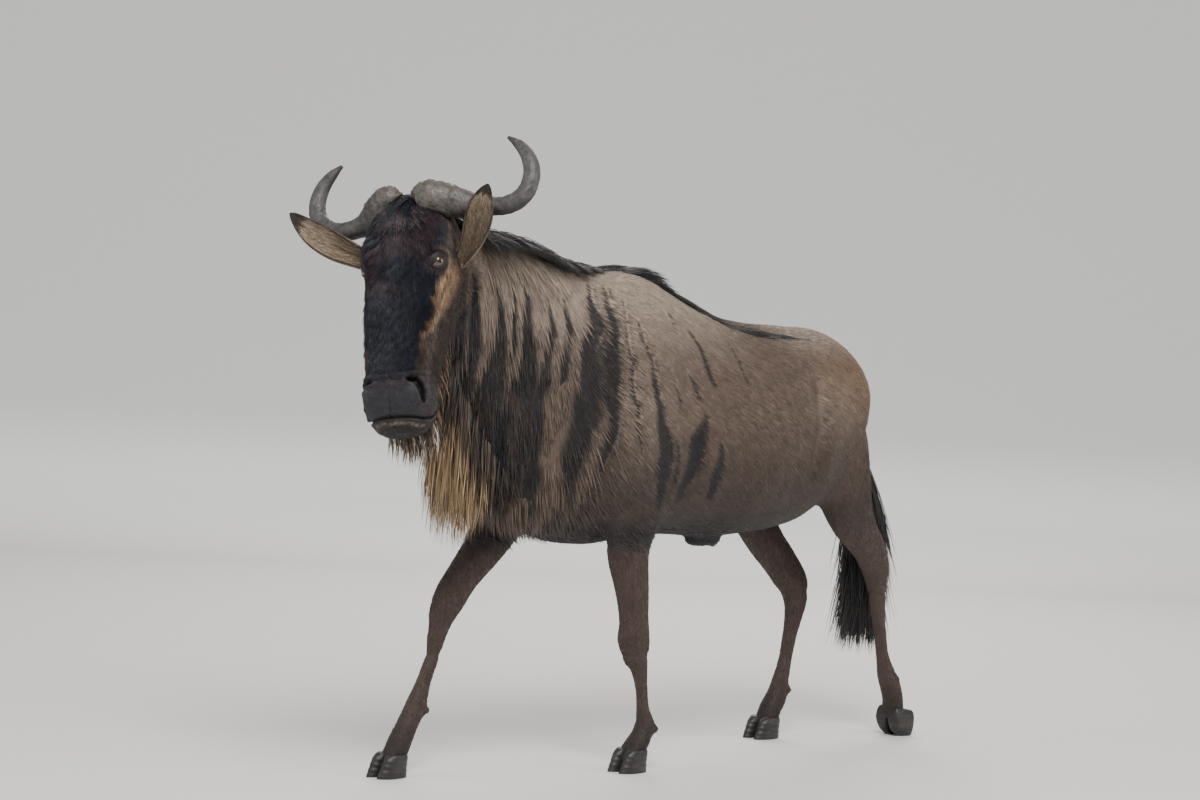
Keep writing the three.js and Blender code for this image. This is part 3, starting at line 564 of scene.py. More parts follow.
# Creases in front of the haunch and above the elbow; the colour paints shade into them
HAUNCH = [[565, 164, 990], [541, 209, 888], [508, 231, 785], [491, 221, 705]]
ELBOW = [[-420, 90, 700], [-340, 118, 660], [-232, 160, 672], [-120, 190, 720]]
# Creases and folds of the trunk: height, width and line
CREASES = [
    (-12, 17, [[575, 175, 1010], [548, 205, 900], [510, 232, 790], [490, 222, 700]]),
    (6, 30, [[610, 180, 1000], [590, 205, 890], [560, 225, 780], [560, 190, 690]]),
    (-8, 26, [[40, 170, 1040], [62, 205, 900], [70, 205, 780], [50, 170, 650]]),
    (-7, 17, ELBOW),
    (7, 22, [[-400, 90, 650], [-320, 118, 615], [-220, 150, 610]]),
    (-6, 15, [[-10, 150, 640], [-50, 150, 600], [-110, 140, 600]]),
    (-6, 16, [[785, 150, 860], [800, 150, 760], [790, 145, 680]]),
    (-5, 18, [[690, 190, 760], [650, 190, 700], [600, 180, 650]]),
]
# Muscles and bones under the skin: height, place and reach
MUSCLES = [(10, 575, 140, 1065, 38), (6, -140, 175, 880, 70), (5, -60, 190, 760, 60),
           (5, 760, 160, 920, 60)]


def body_relief(p, n):
    h = head_local(p)
    off_head = ease(h[:, 2], -140, -215)
    off_head = np.maximum(off_head, (h[:, 0] > 40).astype(float))
    d = -3.5 * stripe_mask(p) * (p[:, 0] < -20)
    neck = ease(p[:, 0], -60, -260) * off_head * (p[:, 2] > 620)
    d += neck * 1.6 * np.sin((p[:, 0] + 0.12 * p[:, 2] + waves(p, 300, 5) * 20) / 9.5)
    for height, width, line in CREASES:
        d += height * groove(p, line, width)
    for height, *swelling in MUSCLES:
        d += height * gauss(p, *swelling)
    ribs = ease(p[:, 0], 90, 160) * (1 - ease(p[:, 0], 400, 470))
    ribs *= ease(p[:, 2], 640, 700) * (1 - ease(p[:, 2], 960, 1040))
    d += 1.3 * ribs * np.sin((p[:, 0] + 0.25 * p[:, 2]) / 7.6)
    d += 1.6 * waves(p, 130, 9) * off_head * (p[:, 2] > 560)
    for name, table in LEGS.items():
        d += leg_relief(p, name, table)
    return p + n * d[:, None]


def leg_middle(rows, z):
    """The x and y of a leg's middle at the heights z."""
    return [np.interp(-z, -rows[:, 2], rows[:, k]) for k in (0, 1)]


def leg_relief(p, name, table):
    rows = smooth_rows(table, 60)
    away, place = near_line(p, rows[:, :3])
    near = (away < 75) & (p[:, 2] < (560 if name.startswith("front") else 600))
    x, y = leg_middle(rows, p[:, 2])
    fore, across = p[:, 0] - x, p[:, 1] - y
    tendon = bell(fore - 8, 7) * bell(np.abs(across) - 16, 9)
    zone = ease(p[:, 2], 110, 170) * (1 - ease(p[:, 2], 300, 380))
    d = -4.6 * tendon * zone
    upper = ease(p[:, 2], 380, 440)
    d += upper * 2.2 * np.sin(place * 34 + across / 16) * bell(fore, 40)
    joint = 330 if name.startswith("front") else 430
    cap = bell(p[:, 2] - joint, 26)
    d += 3.5 * cap * bell(fore + 22, 16) - 2.5 * bell(p[:, 2] - joint + 42, 12)
    return np.where(near, d, 0)


# The nostril's comma on the head, and its places once they are laid on the skin
COMMA = np.array([[-432, 52, 2], [-434, 68, -4], [-446, 80, -12], [-462, 84, -25], [-477, 76, -36]], float)
COMMA_ON_SKIN = []
COMMA_FLOOR = []


def comma_distance(x, y, z):
    """Distance from the nostril's middle line and its half width, y without its sign."""
    away, place = near_line(triples(x, y, z), COMMA_ON_SKIN)
    return away, mix(5.5, 9.5, np.sin(np.pi * np.clip(place, 0, 1)) ** 0.7)


EYE_SLANT = math.radians(48)


def eye_axes(side):
    """Outward, inner-corner and upper-lid directions of an eye, on the head."""
    out = unit(np.array([-0.24, side * 0.87, 0.42]))
    fore = np.array([-1.0, 0, -0.22])
    fore = unit(fore - out * (fore @ out))
    above = np.cross(out, fore)
    above = above if above[2] > 0 else -above
    c, s = math.cos(EYE_SLANT), math.sin(EYE_SLANT)
    return out, fore * c + above * s, above * c - fore * s


# Forms of the head: height, place and reach, on the head
HEAD_FORMS = [
    (9, -112, 80, 14, 40, 22, 20),       # brow over the eye
    (4, -158, 102, -46, 44, 22, 16),     # cheekbone under the eye
    (-6, -212, 92, 2, 36, 22, 22),       # hollow before the eye
    (-5, -310, 96, -60, 84, 26, 34),     # hollow of the cheek
    (5, -235, 100, -120, 90, 34, 44),    # jaw muscle
    (5, -300, 0, 8, 150, 34, 30),        # bridge of the nose
    (9, -452, 66, -6, 40, 24, 26),       # wing of the nostril
    (-4, -405, 84, -60, 26, 26, 26),     # dip behind the nostril
    (-4, -440, 24, 4, 24, 20, 20),       # dip between the wings
    (5, -494, 36, -40, 20, 46, 30),      # upper lip, front
    (5, -480, 74, -74, 34, 30, 20),      # upper lip, side
    (3, -530, 26, -84, 18, 36, 26),      # lower lip
    (-5, -490, 0, -20, 30, 5, 34),       # groove of the nose
]


def head_relief(p, n):
    h = head_local(p)
    side = folded(h)
    x, y, z = side.T
    on = ((x < 20) & (y < 130) & (z > -200)).astype(float)

    def blob(cx, cy, cz, rx, ry, rz):
        return np.exp(-((x - cx) / rx) ** 2 - ((y - cy) / ry) ** 2 - ((z - cz) / rz) ** 2)

    d = sum(height * blob(*form) for height, *form in HEAD_FORMS)
    # nostril: a deep comma round the outer edge of a bare fold
    inward = h - head_local(p + n)
    inward[:, 1] *= np.sign(h[:, 1])
    for spot in COMMA:
        nearest = np.argmin(lengths(side - spot) + 1e4 * (on < 1))
        COMMA_ON_SKIN.append(side[nearest])
        COMMA_FLOOR.append(side[nearest] + 13 * inward[nearest])
    away, width = comma_distance(x, y, z)
    hole = 1 - ease(away, width * 0.5, width * 1.1)
    d += -15 * hole + 3.0 * bell(away - width * 1.55, 5)
    fold = COMMA_ON_SKIN[2] + [-10, -15, 2]
    d += 5 * blob(*fold, 12, 11, 16)
    # mouth line, from the front back to the corners
    away, place = near_line(np.stack([x, z], 1), MOUTH)
    mouth = bell(away, 3.4) * ease(x, -440, -456) * (1 - ease(place, 0.9, 1.0))
    d += -8 * mouth * (z > -104) + 1.5 * bell(away - 8, 4) * (x > -512) * (x < -450)
    # wrinkles round the muzzle and above the eye
    d += 1.0 * blob(-425, 50, -20, 30, 60, 50) * np.sin(x / 3.4 + z / 9)
    d += 1.0 * blob(-452, 84, -70, 34, 30, 30) * np.sin(x / 4.2 + z / 7)
    d += 1.3 * blob(-104, 70, 24, 34, 34, 24) * np.sin((x + 0.6 * y) / 3.6)
    d += 1.0 * blob(-176, 98, -26, 26, 24, 18) * np.sin((z - 0.5 * x) / 2.8)
    # the eye's opening falls away behind the ball
    e = side - EYE
    axis, fore, above = eye_axes(1)
    out = e @ axis
    almond = np.hypot((e @ fore) / 21, (e @ above) / 14)
    socket = (1 - ease(almond, 0.8, 1.15)) * (out > 0)
    d = d * (1 - socket) * on - 14 * socket * on
    d += on * 0.5 * waves(p, 26, 13) + 0.5 * nose_pad(x, y, z) * on * waves(p, 7, 14)
    return p + n * d[:, None]


# Markings, with painted shade and a painted highlight
TAUPE = np.array([0.122, 0.085, 0.064])
PALE = np.array([0.375, 0.300, 0.242])
OCHRE = np.array([0.230, 0.142, 0.080])
DARK = np.array([0.0065, 0.0062, 0.0095])
BROWN = np.array([0.044, 0.029, 0.023])
LEG = np.array([0.060, 0.038, 0.031])
FACE = np.array([0.0072, 0.0092, 0.0185])
PURPLE = np.array([0.050, 0.028, 0.034])
TAN = np.array([0.300, 0.190, 0.108])
STRAW = np.array([0.470, 0.325, 0.180])
MUZZLE = np.array([0.015, 0.0145, 0.018])
LIP = np.array([0.34, 0.28, 0.20])


def blend(base, colour, amount):
    a = np.clip(amount, 0, 1)[:, None]
    return np.asarray(base) * (1 - a) + np.asarray(colour) * a


def markings_and_painted_light(p):
    """Colour of the coat at places on the animal, in linear RGB, with painted shade in creases, hollows and
    under the body, and a painted highlight on the nose.
    """
    x, y, z = folded(p).T
    upper = mix(0.9, 0.6, ease(x, -260, -500))
    c = blend(TAUPE, PALE, upper * ease(z, 960, 1210) * (1 - ease(x, 160, 420)))
    c = blend(c, PALE, 0.7 * ease(z, 1000, 1100) * ease(x, 400, 620))
    c = blend(c, OCHRE, 0.75 * gauss(p, 800, 130, 960, 110))
    c = blend(c, OCHRE, 0.4 * gauss(p, 640, 190, 980, 80))
    c = blend(c, PALE, 0.3 * gauss(p, -130, 190, 900, 160))
    c = blend(c, PALE, 0.25 * gauss(p, 600, 190, 900, 90))
    # the lower body darkens to the belly: the coat's own brown, deepened with painted shade under the body
    c = blend(c, BROWN, 0.74 * ease(z, 930, 690) * (x > -250))
    low = 648 + 26 * waves(p, 240, 21) - 12 * ease(x, 0, 500)
    c = blend(c, BROWN, 0.85 * (1 - ease(z, low - 20, low + 110)) * (x > -330))
    c = blend(c, DARK, 0.92 * (1 - ease(z, 570, 655)) * (x > -420))
    # painted shade: the creases before the haunch and above the elbow are darkened in the colour
    c = blend(c, BROWN, 0.95 * groove(p, HAUNCH, 13) + 0.6 * groove(p, ELBOW, 15))
    c = blend(c, DARK, 0.92 * stripe_mask(p))
    # the blue-black lower neck, streaked with brown
    zone = ease(x, -380, -470) * ease(z, 1000, 880) * ease(z, 620, 700)
    streak = 0.5 + 0.5 * np.sin((x + 0.12 * z + 18 * waves(p, 150, 25)) / 13)
    c = blend(c, DARK, 0.8 * zone * ease(streak, 0.15, 0.55))
    c = blend(c, BROWN * 1.5, 0.6 * zone * (1 - ease(streak, 0.15, 0.55)))
    throat = ease(x, -590, -655) * ease(z, 1290, 1190)
    c = blend(c, DARK * 1.6, 0.85 * throat * ease(streak, 0.1, 0.5))
    c = blend(c, BROWN * 1.6, 0.7 * throat * (1 - ease(streak, 0.2, 0.6)))
    # the dark crest of the mane
    crest = crest_distance(p)
    c = blend(c, [0.012, 0.011, 0.012], 1 - ease(crest, 0.7, 1.2))
    # legs
    c = blend(c, LEG, leg_zone(p))
    c = blend(c, [0.024, 0.016, 0.014], leg_zone(p) * ease(z, 190, 60))
    c = blend(c, DARK, ease(y, 96, 74) * (x > 200) * (x < 460) * (z > 480) * (z < 620))
    # tail dock and hind end
    c = blend(c, BROWN, 0.6 * ease(x, 855, 900) * (z > 640))
    c *= (1 + 0.10 * waves(p, 46, 31) + 0.06 * waves(p, 15, 33))[:, None]
    h = head_local(p)
    c = blend(c, BROWN, 0.85 * ease(h[:, 0], -20, 10) * ease(h[:, 0], 120, 70)
              * ease(np.abs(h[:, 1]), 130, 100) * (h[:, 2] > -110))
    c = blend(c, DARK, ease(h[:, 0], -20, 10) * ease(h[:, 0], 90, 50)
              * ease(np.abs(h[:, 1]), 70, 45) * (h[:, 2] > -60))
    return head_markings_and_painted_light(p, c)


# The mane's line: along the top of the neck, then over to the left side of the back
CREST = [
    [-712, -64, 1340], [-640, -57, 1308], [-540, -44, 1300], [-420, -28, 1290], [-300, -12, 1262],
    [-200, -8, 1254], [-90, -20, 1248], [0, -42, 1240], [100, -56, 1200], [200, -60, 1160],
    [300, -64, 1122], [400, -68, 1100], [480, -72, 1088], [540, -78, 1078],
]


def crest_distance(p):
    """Distance from the mane's line along the neck and back, 1 at its edge."""
    away, place = near_line(p, CREST)
    half = mix(36.0, 20.0, ease(place, 0.3, 0.6)) * (1 - ease(place, 0.75, 1.0)) + 0.5
    return away / half


def leg_zone(p):
    x, z = p[:, 0], p[:, 2]
    front = (x < 300) * ease(z, 600, 520)
    hind = (x >= 300) * ease(z + 0.15 * (900 - x), 720, 560)
    return np.maximum(front, hind)


def head_markings_and_painted_light(p, c):
    h = head_local(p)
    x, y, z = folded(h).T
    on = ease(x, 22, 4) * ease(z, -205, -150) * (y < 130)
    lower = ease(z, -60, -110) * ease(x, -420, -330)
    on = on * (1 - 0.85 * ease(z, -120, -175) * ease(x, -420, -300))
    face = blend(FACE, PURPLE, 0.65 * ease(x, -250, -150) * ease(z, -50, 0)
                 * ease(waves(p, 90, 45), -0.5, 0.3))
    face = blend(face, FACE * 0.8, ease(y, 40, 24) * ease(x, -60, -20))
    # the tan cheek: its front edge straight below the eye, its rear edge slanting to meet it
    edge = -8 - 0.08 * (x + 240) + 5 * waves(p, 34, 47)
    rear = -96 + 0.50 * (-170 - x) + 6 * waves(p, 28, 46)
    side = ease(edge - z, 0, 12) * (y > 60)
    cheek = side * ease(x, -340, -285) * ease(x, -120, -158)
    grizzle = 0.5 + 0.5 * np.sin((z - 0.3 * x) / 6.5 + 2.2 * waves(p, 40, 48))
    face = blend(face, [0.085, 0.054, 0.037], 0.85 * side * ease(x, -440, -380) * (0.35 + 0.65 * grizzle))
    face = blend(face, TAN, 0.95 * cheek * ease(z - rear, -16, 14) * (0.72 + 0.28 * waves(p, 24, 41)))
    face = blend(face, TAN * 0.8, 0.7 * bell(z + 80, 9) * (x > -190) * (x < -70) * (y > 60))
    face = blend(face, [0.030, 0.021, 0.018], 0.8 * side * ease(rear - z, 10, 50))
    face = blend(face, [0.040, 0.027, 0.022], 0.8 * lower * (1 - cheek))
    e = folded(h) - EYE
    ring = lengths(e * [0.8, 0.5, 1.1])
    face = blend(face, [0.012, 0.009, 0.010], 1 - ease(ring, 22, 36))
    fold = bell(ring - 37, 4) * ease(x, -145, -125) * ease(z, 10, -10)
    face = blend(face, TAN * 0.7, 0.7 * fold)
    muzzle = ease(x, -400, -438)
    face = blend(face, [0.034, 0.024, 0.029], 0.85 * muzzle)
    nose = nose_pad(x, y, z)
    face = blend(face, MUZZLE, nose)
    # painted highlight: a bluish-grey sheen on the fold of the nostril
    face = blend(face, [0.045, 0.046, 0.055], 0.7 * np.exp(-((x + 458) / 14) ** 2 - ((y - 62) / 12) ** 2
                 - ((z + 8) / 16) ** 2))
    chin = ease(x, -440, -470) * ease(z, -84, -100)
    chin = np.maximum(chin, ease(x, -516, -522))
    face = blend(face, [0.014, 0.012, 0.013], chin)
    away, place = near_line(np.stack([x, z], 1), [[-525, -8], [-527, -60], [-518, -84]])
    lip = bell(away, 3.2) * (x < -500) * (1 - ease(place, 0.5, 0.9))
    face = blend(face, LIP, 0.5 * lip * (0.6 + 0.4 * waves(p, 12, 49)))
    # painted shade: the inside of the nostril's hole is painted near black
    away, place = near_line(triples(x, y, z), COMMA_FLOOR)
    face = blend(face, [0.002, 0.002, 0.002], 1 - ease(away, 11.5, 15.5))
    # painted shade: a near-black line in the crease between the lips
    away, place = near_line(np.stack([x, z], 1), MOUTH)
    face = blend(face, [0.008, 0.007, 0.008], 0.9 * (1 - ease(away, 2.0, 5.0)) * (x < -446))
    face *= (1 + 0.14 * waves(p, 18, 43))[:, None]
    return blend(c, face, on)


def nose_pad(x, y, z):
    """1 on the bare skin of the nose and upper lip, y taken without its sign."""
    front = ease(x, -440, -456) * (x > -518) * ease(y, 76, 62)
    fold = np.exp(-((x + 456) / 22) ** 4 - ((y - 62) / 22) ** 4) * ease(z, -44, -28)
    return np.clip(front + fold, 0, 1)


def paint(mesh, colours):
    rgba = np.ones((len(colours), 4), np.float32)
    rgba[:, :3] = np.clip(colours, 0.002, 1)
    layer = mesh.attributes.new("tint", "FLOAT_COLOR", "POINT")
    layer.data.foreach_set("color", rgba.ravel())


# Materials
def new_material(name, **settings):
    """A material with one shader; `settings` are the shader's inputs, with _ for a space."""
    m = bpy.data.materials.new(name)
    m.use_nodes = True
    tree = m.node_tree
    tree.nodes.clear()
    out = tree.nodes.new("ShaderNodeOutputMaterial")
    bsdf = tree.nodes.new("ShaderNodeBsdfPrincipled")
    tree.links.new(bsdf.outputs["BSDF"], out.inputs["Surface"])
    for key, value in settings.items():
        bsdf.inputs[key.replace("_", " ")].default_value = value
    return m, tree, bsdf


def node(tree, kind, **values):
    n = tree.nodes.new(kind)
    for key, value in values.items():
        if key in n.inputs:
            n.inputs[key].default_value = value
        else:
            setattr(n, key, value)
    return n


def noise(tree, scale, detail=4.0, stretch=(1, 1, 1), rough=0.55):
    where = tree.nodes.new("ShaderNodeTexCoord")
    place = node(tree, "ShaderNodeMapping", Scale=stretch)
    tree.links.new(where.outputs["Object"], place.inputs["Vector"])
    n = node(tree, "ShaderNodeTexNoise", Scale=scale, Detail=detail, Roughness=rough)
    tree.links.new(place.outputs["Vector"], n.inputs["Vector"])
    return n.outputs["Fac"]


def bump(tree, bsdf, height, strength, distance):
    b = node(tree, "ShaderNodeBump", Strength=strength, Distance=distance)
    tree.links.new(height, b.inputs["Height"])
    tree.links.new(b.outputs["Normal"], bsdf.inputs["Normal"])


def ramp(tree, value, stops):
    """A colour ramp; a stop's colour is three numbers, or one for a grey."""
    r = tree.nodes.new("ShaderNodeValToRGB")
    e = r.color_ramp.elements
    while len(e) < len(stops):
        e.new(0.5)
    for k, (at, colour) in enumerate(stops):
        e[k].position = at
        e[k].color = (*np.broadcast_to(colour, 3).tolist(), 1)
    tree.links.new(value, r.inputs["Fac"])
    return r.outputs["Color"]


def shade_tint(tree, bsdf, grain, stops):
    """Gives the shader the painted colour, made lighter and darker by a grain."""
    tint = node(tree, "ShaderNodeAttribute", attribute_name="tint")
    product = node(tree, "ShaderNodeMix", data_type="RGBA", blend_type="MULTIPLY", Factor=1.0)
    tree.links.new(tint.outputs["Color"], product.inputs[6])
    tree.links.new(ramp(tree, grain, stops), product.inputs[7])
    tree.links.new(product.outputs[2], bsdf.inputs["Base Color"])


def hair_material(name, roughness, sheen, variation, specular=0.35, streak=(60, 60, 14), size=9.0):
    m, tree, bsdf = new_material(name, Roughness=roughness, Specular_IOR_Level=specular,
                                 Sheen_Weight=sheen, Sheen_Roughness=0.45)
    grain = noise(tree, size, 5.0, streak)
    shade_tint(tree, bsdf, grain, [(0.3, 1 - variation), (0.7, 1 + variation * 0.6)])
    bump(tree, bsdf, grain, 0.5, 0.0025)
    return m


def horn_material():
    m, tree, bsdf = new_material("horn_keratin")
    grain = noise(tree, 38.0, 8.0, rough=0.7)
    fine = noise(tree, 70.0, 6.0, rough=0.6)
    shade_tint(tree, bsdf, grain, [(0.32, (0.5, 0.5, 0.52)), (0.68, (1.3, 1.26, 1.2))])
    tree.links.new(ramp(tree, fine, [(0.3, 0.38), (0.75, 0.62)]), bsdf.inputs["Roughness"])
    bump(tree, bsdf, fine, 0.8, 0.0022)
    return m


def hoof_material():
    m, tree, bsdf = new_material("hoof_horn", Roughness=0.46)
    bands = noise(tree, 14.0, 6.0, (1, 1, 7), 0.6)
    stops = [(0.25, (0.010, 0.009, 0.009)), (0.55, (0.022, 0.019, 0.018)), (0.8, (0.048, 0.041, 0.036))]
    tree.links.new(ramp(tree, bands, stops), bsdf.inputs["Base Color"])
    bump(tree, bsdf, bands, 0.4, 0.002)
    return m


def eye_material():
    m, tree, bsdf = new_material("eye_ball", Roughness=0.06, Specular_IOR_Level=0.6, Coat_Weight=1.0,
                                 Coat_Roughness=0.02)
    shade_tint(tree, bsdf, noise(tree, 160.0), [(0.3, 0.7), (0.7, (1.3, 1.25, 1.2))])
    return m


FLESH = ["head", "neck", "chest", "belly", "rump", "tail_dock", "scrotum"]
FLESH += [f"leg_{leg}_{part}" for leg in LEGS for part in ("upper", "cannon", "pastern")]


def finish_piece(piece, material, nodes=()):
    piece.data.materials.append(material)
    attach(piece, "root")
    if nodes:
        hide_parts(*nodes)


SKIN_HAIR = hair_material("short_coat_ground", 0.56, 0.05, 0.25)
skin = build_skin()
paint(skin.data, markings_and_painted_light(points_of(skin.data)))
finish_piece(skin, SKIN_HAIR, FLESH)
print("skin triangles", len(skin.data.polygons))


# Horns, ears, eyes and hooves
HORN_RINGS, HORN_CORNERS = 130, 56


def horn_path(name, side, rows):
    out, up, lift = HORN_REACH[name]
    at, reach = HORN_BEND
    x, y, z = rows[:, 0], rows[:, 1], rows[:, 2]
    near_bend = bell(y - at, reach) * (x <= 40)
    return on_head(triples(np.where(x > 0, x * up, x) + lift * near_bend, side * out * y, z))


def horn_piece(name, side):
    path = smooth_rows(horn_path(name, side, smooth_rows(HORN_ROWS, 20)), HORN_RINGS)
    rows = smooth_rows(HORN_ROWS, HORN_RINGS)
    rings = sweep_rings(path, rows[:, 3], HORN_CORNERS, 0.92)
    centre = path[:, None]
    out = unit(rings - centre)
    along = np.linspace(0, 1, HORN_RINGS)[:, None] * np.ones(HORN_CORNERS)
    flat = rings.reshape(-1, 3)
    boss = 1 - ease(along, 0.22, 0.42)
    rough, fine, line_bend, ridge_bend = (waves(flat, size, seed).reshape(along.shape)
                                          for size, seed in ((26, 51), (9, 52), (60, 53), (50, 54)))
    rough = rough + 0.7 * fine
    angle = np.arange(HORN_CORNERS) / HORN_CORNERS * 2 * np.pi
    lines = np.sin(angle * 23 + 2 * line_bend)
    ridges = np.sin(along * 120 + 2.4 * ridge_bend)
    d = boss * (1.7 * rough + 0.8 * lines) + (1 - boss) * (0.3 * lines + 0.45 * ridges * (along < 0.7))
    d = d - 0.6
    points, faces = loft_faces(rings + out * d[..., None])
    piece = mesh_object(f"horn_{name}_fine", points, faces)
    h = head_local(points)
    up = np.append((out @ np.array([0, 0, 1.0])).ravel(), [0, 0])
    t = np.append(along.ravel(), [0, 1])
    c = blend([0.094, 0.089, 0.094], [0.128, 0.112, 0.098], (1 - ease(t, 0.2, 0.4)) * 0.9)
    # painted shade: darker where the horn's surface faces down, past the boss
    c = blend(c, [0.024, 0.021, 0.022], 0.9 * ease(-up, 0.15, 0.75) * ease(t, 0.18, 0.35))
    c = blend(c, [0.045, 0.040, 0.040], 0.55 * ease(t, 0.86, 1.0))
    c *= 0.8 * (1 + 0.14 * waves(h, 24, 55) + 0.22 * waves(h, 8, 56))[:, None]
    paint(piece.data, c)
    finish_piece(piece, HORN, [f"horn_{name}"])


EAR_THICKNESS = 7.0


def ear_surface(name, t, a, inset):
    """Places on the ear's cup: t from root to tip, a across in radians."""
    path, opened, half = EARS[name]
    fine = on_head(smooth_rows(path, 200))
    forward = unit(np.gradient(fine, axis=0))
    facing = unit(head_direction(opened) - forward * (forward @ head_direction(opened))[:, None])
    index = np.minimum((t * 199 + 0.5).astype(int), 199)
    centre, along, facing = fine[index], forward[index], facing[index]
    across = np.cross(along, facing)
    width = half * (0.42 + 0.58 * np.sin(np.minimum(t * 1.9, 1.57))) * (1 - t ** 4) + 2.5
    depth = width * mix(0.95, 0.25, t)
    out = (width - inset) * np.sin(a)
    back = -(depth - inset) * np.cos(a)
    return centre + across * out[..., None] + facing * back[..., None]


def ear_piece(name):
    steps, arcs = 60, 26
    t = np.linspace(0, 1, steps)[:, None] * np.ones(arcs)
    a = np.linspace(-1.45, 1.45, arcs) * np.ones((steps, 1))
    shell = EAR_THICKNESS * mix(1.3, 0.45, t) * 0.8
    folds = 1.3 * np.sin(a * 7) * ease(t, 0.1, 0.3) * (1 - ease(t, 0.6, 0.95))
    outer = ear_surface(name, t, a, np.full_like(t, 1.2))
    inner = ear_surface(name, t, a, shell + folds)
    rings = np.concatenate([outer, inner[:, ::-1]], axis=1)
    points, faces = loft_faces(rings)
    piece = mesh_object(f"ear_{name}_fine", points, faces)
    inside = np.concatenate([np.zeros_like(t), np.ones_like(t)], axis=1).ravel()
    tt = np.concatenate([t, t[:, ::-1]], axis=1).ravel()
    aa = np.concatenate([a, a[:, ::-1]], axis=1).ravel()
    c = ear_colour(points[:-2], tt, aa, inside)
    paint(piece.data, np.vstack([c, c[0], c[-1]]))
    finish_piece(piece, SKIN_HAIR, [f"ear_{name}"])


def ear_colour(p, t, a, inside):
    c = blend([0.165, 0.125, 0.095], [0.33, 0.235, 0.15], inside * (0.9 - 0.5 * bell(a, 0.5)))
    rim = ease(np.abs(a), 1.15, 1.4)
    c = blend(c, [0.03, 0.022, 0.019], 0.75 * rim * ease(t, 0.25, 0.55))
    c = blend(c, [0.022, 0.017, 0.016], ease(t, 0.78, 0.95))
    c *= (1 + 0.25 * waves(p, 20, 61))[:, None]
    return c


def eye_frame(side):
    """Outward, forward and upward directions of an eye, and its centre."""
    centre = on_head([EYE[0], side * EYE[1], EYE[2]])
    out, fore, up = [unit(head_direction(v)) for v in eye_axes(side)]
    return centre, out, fore, up


def eye_piece(name, side):
    centre, out, fore, up = eye_frame(side)
    basis = triples(fore, up, out)
    rings = ellipsoid_rings([0, 0, 0], [EYE_RADIUS - 0.4] * 3, 72)
    local = rings.reshape(-1, 3)
    cornea = 1 + 0.06 * ease(local[:, 2] / EYE_RADIUS, 0.72, 0.95)
    rings = (local * cornea[:, None]).reshape(rings.shape)
    points, faces = loft_faces(rings @ basis.T + centre)
    piece = mesh_object(f"eye_{name}_fine", points, faces)
    q = (points - centre) @ basis
    r = np.hypot(q[:, 0], q[:, 1]) / EYE_RADIUS
    pupil = np.hypot(q[:, 0] / 8.4, q[:, 1] / 4.4)
    c = blend([0.090, 0.045, 0.030], [0.062, 0.024, 0.012], 1 - ease(r, 0.66, 0.74))
    c = blend(c, [0.020, 0.008, 0.006], bell(r - 0.68, 0.06))
    c = blend(c, [0.004, 0.003, 0.004], 1 - ease(pupil, 0.85, 1.1))
    paint(piece.data, c)
    finish_piece(piece, EYE_MATERIAL, [f"eye_{name}"])
    lids_piece(name, side)


# Lid profile: degrees out from the edge of the opening, distance from the ball's centre
LID_PROFILE = [(-3, 19.0), (-1.5, 20.3), (0, 21.5), (3, 22.7), (8, 23.3), (13, 22.8), (17, 23.5),
               (24, 24.4), (33, 24.6), (42, 23.8), (52, 21.8), (60, 19.0)]


def lids_piece(name, side):
    centre, out, fore, up = eye_frame(side)
    turns = np.linspace(0, 2 * np.pi, 72, endpoint=False)
    c, s = np.cos(turns), np.sin(turns)
    wide = np.where(s > 0, 30.0, 23.0)
    edge = 1 / np.sqrt((c / 50.0) ** 2 + (s / wide) ** 2)
    edge += 8 * bell(turns - 0.12, 0.2)
    rings = []
    for degrees, r in LID_PROFILE:
        upper = ease(s, 0.0, 0.6)
        psi = np.radians(np.minimum(edge + degrees * mix(0.9, 1.15, upper), 108))
        radius = r + upper * (1.6 * bell(degrees - 27, 12)
                              - 1.0 * bell(degrees - 13, 3.5))
        radius = radius - 0.6 * bell(degrees - 15, 3) * (1 - upper)
        d = (np.cos(psi)[:, None] * out + (np.sin(psi) * c)[:, None] * fore
             + (np.sin(psi) * s)[:, None] * up)
        rings.append(centre + d * radius[:, None])
    back = [centre + (ring - centre) * 0.86 for ring in rings[::-1]]
    rings = np.array(rings + back)
    k, n = rings.shape[:2]
    points = rings.reshape(-1, 3)
    i = np.arange(n)
    j = (i + 1) % n
    faces = []
    for row in range(k):
        a, b = row * n, ((row + 1) % k) * n
        faces.append(triples(a + i, a + j, b + j))
        faces.append(triples(a + i, b + j, b + i))
    piece = mesh_object(f"lids_{name}", points, facing_out(points, np.vstack(faces)))
    colour = markings_and_painted_light(points)
    rim = lengths(points - centre)
    colour = blend(colour, [0.014, 0.009, 0.009], 1 - ease(rim, 22.4, 23.8))
    paint(piece.data, colour)
    finish_piece(piece, SKIN_HAIR)


CLAW_OUT, CLAW_CORNERS = 21.0, 56


def foot_points(foot, p):
    x, y, z, pitch = foot
    p = (p - [TOE, 0, 0]) @ turn("Y", pitch).T
    return p + [x + TOE, y, z]


